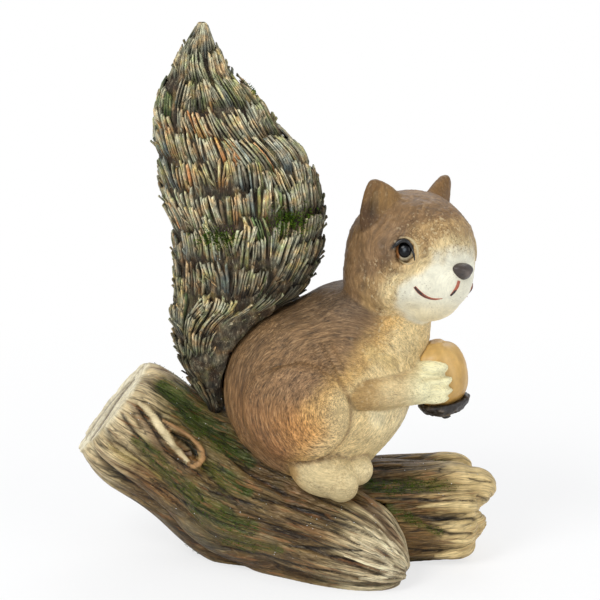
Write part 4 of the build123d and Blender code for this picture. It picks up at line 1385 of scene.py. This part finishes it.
def make_branch():
    """The branch's bark and torn end. Gives the skin and where moss grows on it."""
    skin = cast("branch", ["branch"], 0.72, 0.0)
    skin.places = skin.soften(skin.places, 3)
    seen = on_photo(skin.places)
    near = step(0.02, 0.25, skin.normals() @ TOWARDS)
    crack = brushed(seen, *BRANCH_CRACKS) * near
    ridge = brushed(seen, *BRANCH_RIDGES) * near
    flow, run, _ = bark_flow(skin.places, BRANCH_PATH, 0.002)
    carve_bark(skin, flow, 1.1, 43, 1.0)
    skin.push((0.6 * ridge - 1.0 * crack) * step(0.2, 2.0, skin.places[:, 2]))
    skin.keep_in_box()
    open_sky = shelter(skin, 6.0, 8)
    places, normals, crest = skin.places, skin.normals(), crests(skin)
    patch = rough(places * 0.06, 3, 191)
    tip = step(56, 80, run + 14 * np.clip(crest, -0.6, 0.6) + 4 * patch)
    drawn = step(1.2, 0.5, strokes_on(seen, BRANCH_MOSS) + 0.4 * rough(places * 0.16, 3, 173)) * near
    mossy = np.clip(np.maximum(moss_where(places, normals, 171) * (1 - near) * 0.7, drawn), 0, 1) * (1 - tip)
    green = mix((0.034, 0.07, 0.01), (0.125, 0.11, 0.02), step(38, 55, run))
    dry = step(0.15, 0.55, crest + 0.1 * patch) * (0.25 + 0.75 * step(44, 72, run))
    paint = coats(
        (0.19, 0.11, 0.036),
        ((0.15, 0.11, 0.042), step(-0.1, 0.9, patch)),
        ((0.11, 0.088, 0.064), 0.8 * step(0.45, 0.8, normals[:, 2])),
        ((0.33, 0.205, 0.085), 0.7 * step(0.05, 0.4, crest)),
        (BARK_PALE, 0.55 * dry),
        (BARK_DARK, 0.9 * step(-0.04, -0.42, crest)),
        ((0.76, 0.61, 0.35), 0.88 * tip),
        (green, 0.82 * mossy * step(-0.5, 0.2, 0.3 - crest)),
        ((0.78, 0.64, 0.38), 0.85 * ridge * step(30, 62, run) * step(-0.5, 0.1, crest)),
        ((0.018, 0.012, 0.006), 0.88 * crack),
        # Painted shade: near black where little near sky is seen
        ((0.016, 0.01, 0.005), 0.65 * step(0.78, 0.35, open_sky)),
    )
    shade = np.clip(brushed(seen, BRANCH_SHADE) * near, 0, 1)
    paint = paint * (1 - 0.55 * shade)[:, None] * (1.0, 0.96, 0.82)
    show(
        "branch_bark", places, skin.faces, BARK_PAINT, "painted_bark", ("branch",), paint=paint,
        flow=flow * (1, 1, 0.85) + 90, grain=1 - 0.35 * tip,
    )
    return skin, mossy


# Tail: rows of shreds, how far each row is turned past the last, a shred's width and its cross-section
ROWS = 15
ROW_SHIFT = 2.7
SHRED = 1.12
SECTION = ((-1, -1), (-0.8, 0.25), (-0.35, 0.9), (0.35, 0.9), (0.8, 0.25), (1, -1))
TAIL_TINTS = {
    "grey": (0.33, 0.295, 0.195),
    "blue": (0.2, 0.225, 0.205),
    "brown": (0.26, 0.17, 0.085),
    "olive": (0.205, 0.205, 0.085),
    "rust": (0.64, 0.28, 0.09),
    "tan": (0.48, 0.32, 0.15),
    "green": (0.075, 0.14, 0.02),
    "pale": (0.52, 0.47, 0.31),
    "dark": (0.07, 0.052, 0.036),
}
TAIL_CHANCES = {
    "grey": 3.2, "blue": 1.5, "brown": 1.6, "olive": 1.2, "tan": 0.4, "pale": 1.3, "rust": 0.06, "green": 0.1,
    "dark": 0.8,
}

# What places on the tail add to a tint's chance: how much, then x with its width and z with its height
TAIL_PATCHES = (
    ("rust", 1.6, -50, 12, 142, 16), ("rust", 2.6, -44, 7, 137, 6), ("rust", 1.6, -46, 6, 163, 7),
    ("rust", 1.6, -24, 5, 150, 6), ("tan", 5.0, -55, 12, 145, 16), ("tan", 2.0, -32, 10, 148, 10),
    ("tan", 3.5, -48, 12, 98, 9), ("tan", 1.8, -20, 12, 106, 7), ("green", 3.0, -11, 8, 120, 7),
    ("green", 3.0, -38, 8, 114, 5), ("olive", 4.0, -46, 7, 183, 10), ("olive", 4.0, -47, 9, 72, 9),
)
EDGE_MOSS = (((224, 48), (236, 66), (253, 93)), (3, 6, 4))


def tail_table(tree, low, high):
    """The tail's centre and half sizes at each millimetre of height, in the body's frame."""

    def reach(start, towards, axis, otherwise):
        """Where a ray in the body's frame meets the tail, along one axis."""
        hit = tree.ray_cast(Vector(from_body(start)), Vector(np.array(towards) @ BODY), 200)[0]
        return otherwise if hit is None else to_body(np.array(hit))[axis]

    rows = []
    for z in np.arange(low, high, 1.0):
        middle = -44.0
        for _ in range(2):
            back = reach((-90, 0, z), (1, 0, 0), 0, middle)
            front = reach((40, 0, z), (-1, 0, 0), 0, middle)
            middle = (back + front) / 2
        right, left = reach((middle, -70, z), (0, 1, 0), 1, 0), reach((middle, 70, z), (0, -1, 0), 1, 0)
        rows.append((z, middle, (front - back) / 2, (left - right) / 2))
    rows = np.array(rows)
    kernel = np.ones(9) / 9
    for k in (1, 2, 3):
        rows[:, k] = np.convolve(np.pad(rows[:, k], 4, mode="edge"), kernel, mode="valid")
    return rows


def tail_colour(place):
    """A clump's colour: greys and browns, rust up on the left, green patches, painted shade low on the right, on the
    front edge and low down, and painted light on its middle.
    """
    x, _, z = place
    chances = dict(TAIL_CHANCES)
    for tint, more, at_x, wide, at_z, tall in TAIL_PATCHES:
        chances[tint] += more * blob((x, at_x, wide), (z, at_z, tall))
    low_right = float(step(-34, -20, x) * step(106, 84, z))
    # Painted shade: low on the right, on the front edge near the top, and low down
    tail_shade = max(low_right, float(step(66, 48, z)), 0.8 * float(step(-5, 2, x) * step(160, 146, z)))
    chances["dark"] += 9.0 * tail_shade
    names = list(chances)
    weights = np.array([float(chances[n]) for n in names])
    pick = names[rng.choice(len(names), p=weights / weights.sum())]
    # Painted light: a brighter patch across the middle of the tail
    glow = 1 + 0.35 * blob((x, -22, 20), (z, 138, 28))
    dim = 1 - 0.28 * float(step(112, 92, z)) - 0.15 * float(step(168, 182, z))
    return np.array(TAIL_TINTS[pick]) * glow * dim * rng.uniform(0.85, 1.15) * (1 - 0.6 * tail_shade), tail_shade


def make_tail():
    """The tail's dark core under rows of upward shreds. Gives the core's skin."""
    p, f = node_arrays("tail")
    b = to_body(p)
    low, high = b[:, 2].min() + 1.5, b[:, 2].max() - 0.6
    table = tail_table(Skin(p, f).tree(), low, high)

    core = cast("tail", ["tail"], 1.0, 0.0)
    core.places = core.soften(core.places, 14)
    x, y, z = to_body(core.places).T
    grooves = rough(np.stack([x * 0.6, y * 0.6, z * 0.08], axis=1), 3, 5)
    base = step(60, 40, z)
    core.push(-1.1 + 0.5 * base + (0.45 + 0.5 * base) * grooves)
    core.keep_in_box()
    dark = mix((0.05, 0.036, 0.022), (0.2, 0.16, 0.095), step(-0.3, 1.0, grooves)) * (1 - 0.55 * base)[:, None]
    show(
        "tail_core", core.places, core.faces, TAIL_PAINT, "painted_tail", ("tail",), paint=dark,
        flow=np.stack([x, y, z / 8], axis=1),
    )

    def surface(z, turn, out):
        """A place on the tail, so far out from its surface, drawn in to a blunt tip at the top."""
        level = np.clip(z, table[0, 0], table[-1, 0])
        x, w, d = (np.interp(level, table[:, 0], table[:, k]) for k in (1, 2, 3))
        draw = math.sqrt(min(max((high + 1.0 - z) / 9.0, 0.02), 1.0))
        w, d = max((w + out) * draw, 0.4), max((d + out) * draw, 0.4)
        return np.array([x + w * math.cos(turn), d * math.sin(turn), z])

    places, faces, paint, flow = [], [], [], []

    def splinter(turn, bottom, top, half, proud, lean, tint, tipped, row):
        """One upward shred: hidden root, straight crest and a ragged square top."""
        first = len(places)
        notch = rng.uniform(-1.6, 1.6)
        bend = rng.normal(0, 0.012)
        edge = rng.uniform(0.75, 1.05)
        for share, out, wide, deep in (
            (0.0, -2.4, half * 0.9, 0.9),
            (0.3, -0.75 + 0.2 * proud, half, 1.0),
            (0.62, -0.1 + 0.5 * proud, half, 1.0),
            (0.9, 0.5 + 0.9 * proud, half * edge, 0.95),
            (1.0, 0.6 + 1.0 * proud, half * edge * 0.85, 0.7),
        ):
            height = bottom + (top - bottom) * share
            a = turn + lean * share + bend * math.sin(share * math.pi)
            spot = surface(height, a, out)
            ahead = unit(surface(height, a + 0.02, out) - surface(height, a - 0.02, out))
            outward = np.array([ahead[1], -ahead[0], 0.0])
            last = share == 1.0
            for s, q in SECTION:
                c = spot + ahead * s * wide + outward * q * deep * 0.6
                c[2] += last * (notch * s * 0.5 - (q > 0.5) * 0.4)
                places.append(c)
                # Painted shade on each shred's sides, and painted shadow darkening its root between the rows
                lit = 1.0 if q > 0.5 else (0.5 if q > -0.5 else 0.22)
                pale = step(0.2, 0.85, share) * tipped * lit
                paint.append(mix(tint * (0.28 + 0.85 * share) * lit, (0.74, 0.66, 0.43), 0.85 * pale))
                flow.append((s * wide + turn * 60, q * deep + row * 7.0, height / 9))
        corners = len(SECTION)
        faces.extend(bands(4, corners, first))
        for e in (first, first + 4 * corners):
            quads = ([e, e + 1, e + 4, e + 5], [e + 1, e + 2, e + 3, e + 4])
            faces.extend(q[::-1] if e == first else q for q in quads)

    pitch = (high - low) / ROWS
    angles = np.linspace(0, 2 * math.pi, 721)
    for row, z in enumerate(np.arange(low - 2, high + 2, pitch)):
        level = np.clip(z + pitch * 0.5, table[0, 0], table[-1, 0])
        w, d = (np.interp(level, table[:, 0], table[:, k]) for k in (2, 3))
        arc = np.concatenate([[0], np.cumsum(np.hypot(np.diff(w * np.cos(angles)), np.diff(d * np.sin(angles))))])
        girth = arc[-1]
        reached = 0.0
        while reached < girth:
            clump = min(rng.uniform(3.5, 9.5), girth - reached + 0.5)
            mid = float(np.interp((reached + clump / 2 + ROW_SHIFT * row) % girth, arc, angles))
            wave = 2.0 * math.sin(2 * mid + row * 1.9) + 1.3 * math.sin(5 * mid + row) + rng.normal(0, 1.0)
            clump_top = z + pitch * rng.uniform(0.95, 1.2) + wave
            clump_low = z - rng.uniform(1.2, 2.6) + wave
            clump_proud = rng.uniform(-0.5, 0.9)
            size = max(w * abs(math.cos(mid)), d * abs(math.sin(mid)), 6)
            clump_lean = (rng.normal(0, 1.1) + 0.8 * math.sin(mid * 3 + row * 0.7)) / size
            tint, tail_shade = tail_colour(surface(clump_low + pitch / 2, mid, 0))
            count = max(int(clump / SHRED), 2)
            for k in range(count):
                spot = reached + clump * (k + 0.5) / count + rng.normal(0, 0.1)
                turn = float(np.interp((spot + ROW_SHIFT * row) % girth, arc, angles))
                top = min(clump_top + rng.normal(0, 1.2), high + 0.6)
                bottom = clump_low + rng.normal(0, 0.4)
                if top - bottom < 3 or bottom > high - 3:
                    continue
                half = rng.uniform(0.45, 0.9)
                own = tail_colour(surface(clump_low + pitch / 2, turn, 0))[0] if rng.random() < 0.45 else tint
                shred = own * rng.uniform(0.7, 1.35)
                tipped = rng.uniform(0.1, 1.1) * (1 - 0.65 * tail_shade)
                lean = clump_lean + rng.normal(0, 0.25) / size
                splinter(turn, bottom, top, half, clump_proud + rng.uniform(-0.35, 0.35), lean, shred, tipped, row)
                if rng.random() < 0.22:
                    start = bottom + rng.uniform(2.0, 5.0)
                    end = min(start + rng.uniform(3.0, 6.0), high + 0.6)
                    if end - start > 2:
                        splinter(turn + 0.6 / size, start, end, half * 0.7, clump_proud + 0.8, lean, shred, tipped, row)
            reached += clump
    inside = np.clip(from_body(np.array(places)), LOW, HIGH)
    show(
        "tail_splinters", inside, triangles(faces), TAIL_PAINT, "painted_tail", smooth=False,
        paint=np.array(paint), flow=np.array(flow),
    )
    return core


def moss_on_tail(skin):
    """Where moss grows on the tail: two tufts on the near side and a streak on the edge near the top."""
    x, y, z = to_body(skin.places).T
    moss = (blob((x, -11, 6), (z, 120, 5)) + blob((x, -38, 7), (z, 113, 3))) * step(4, -4, y)
    return moss + 0.9 * step(1.3, 0.5, stroke(on_photo(skin.places), *EDGE_MOSS)) * step(12, 4, np.abs(y))


# Flock and glitter. The three corners of a blade's foot are turned by THIRDS.
THIRDS = (0, 2.094, 4.189)


def make_flock(skins, count):
    """Short green blades of flock where moss grows."""
    places, faces, paint = [], [], []
    for skin, where, share, lift in skins:
        normals = skin.normals()
        chance = np.clip(where, 0, 1) ** 1.5
        for i in rng.choice(len(chance), int(count * share), p=chance / chance.sum()):
            n = unit(normals[i] + rng.normal(0, 0.35, 3))
            foot = skin.places[i] + rng.normal(0, 0.4, 3) + normals[i] * (lift - 0.25)
            a = unit(np.cross(n, rng.normal(0, 1, 3)))
            c = np.cross(n, a)
            size = rng.uniform(0.16, 0.36)
            tall = rng.uniform(0.22, 0.55) + lift * 0.4
            first = len(places)
            for t in THIRDS:
                places.append(foot + (a * math.cos(t) + c * math.sin(t)) * size)
            places.append(foot + n * tall)
            faces += [[first + k for k in face] for face in ((0, 1, 3), (1, 2, 3), (2, 0, 3), (0, 2, 1))]
            green = np.array((0.06, 0.135, 0.01)) * rng.uniform(0.35, 1.35)
            green = green + np.array((0.05, 0.03, 0.0)) * rng.uniform(0, 1)
            paint += [green * 0.6] * 3 + [green * 1.25]
    g = Graph("flock")
    tone = g.ramp(g.noise(g.add("TexCoord", 3), 240.0, 3.0, 0.5), (0.35, 0.65), (0.65, 1.25))
    colour = g.blend("MULTIPLY", g.read("paint", 0), tone, 1.0)
    material = g.surface(Base_Color=colour, Roughness=0.85, Specular_IOR_Level=0.2)
    inside = np.clip(np.array(places), LOW, HIGH)
    show("moss_flock", inside, faces, material, "painted_bark", smooth=False, paint=np.array(paint))


def make_glitter(skins, count):
    """Specks of pale glitter stuck in the varnish."""
    places, faces = [], []
    for skin, share in skins:
        normals = skin.normals()
        up = np.clip(0.4 + normals[:, 2] - 0.3 * normals[:, 1], 0.02, None)
        for i in rng.choice(len(up), int(count * share), p=up / up.sum()):
            centre = skin.places[i] + normals[i] * 0.1
            size = rng.uniform(0.13, 0.24)
            first = len(places)
            for axis in range(3):
                for s in (-1, 1):
                    d = np.zeros(3)
                    d[axis] = s * size
                    places.append(centre + d)
            for x, y, z in itertools.product((0, 1), (2, 3), (4, 5)):
                face = [first + x, first + y, first + z]
                faces.append(face if (x + y + z) % 2 else face[::-1])
    inside = np.clip(np.array(places), LOW, HIGH)
    paint = np.tile((0.85, 0.86, 0.84), (len(places), 1))
    show("glitter", inside, faces, gloss_paint("glitter_paint", 0.2, 0.3), "painted_bark", smooth=False, paint=paint)


# The object
set_stage()
BARK_PAINT = bark_material()
TAIL_PAINT = tail_material()
EYE_PAINT = eye_paint()

squirrel = make_squirrel()
face_tree = squirrel.tree()
make_mouth(face_tree)
make_eye(-1, "right_eye_bead", "right_eye")
make_eye(1, "left_eye_bead", "left_eye")
make_lids(face_tree)
make_nose()
make_nut()
trunk, trunk_moss = make_trunk()
branch, branch_moss = make_branch()
tail = make_tail()
tail_moss = moss_on_tail(tail)
make_flock(((trunk, trunk_moss, 0.55, 0.0), (branch, branch_moss, 0.28, 0.0), (tail, tail_moss, 0.17, 1.9)), 7000)
make_glitter(((trunk, 0.5), (tail, 0.35), (branch, 0.15)), 260)
pin_steel = steel()
for node in ("tail_pin", "seat_pins", "branch_pin"):
    NODES[node].data.materials.clear()
    NODES[node].data.materials.append(pin_steel)
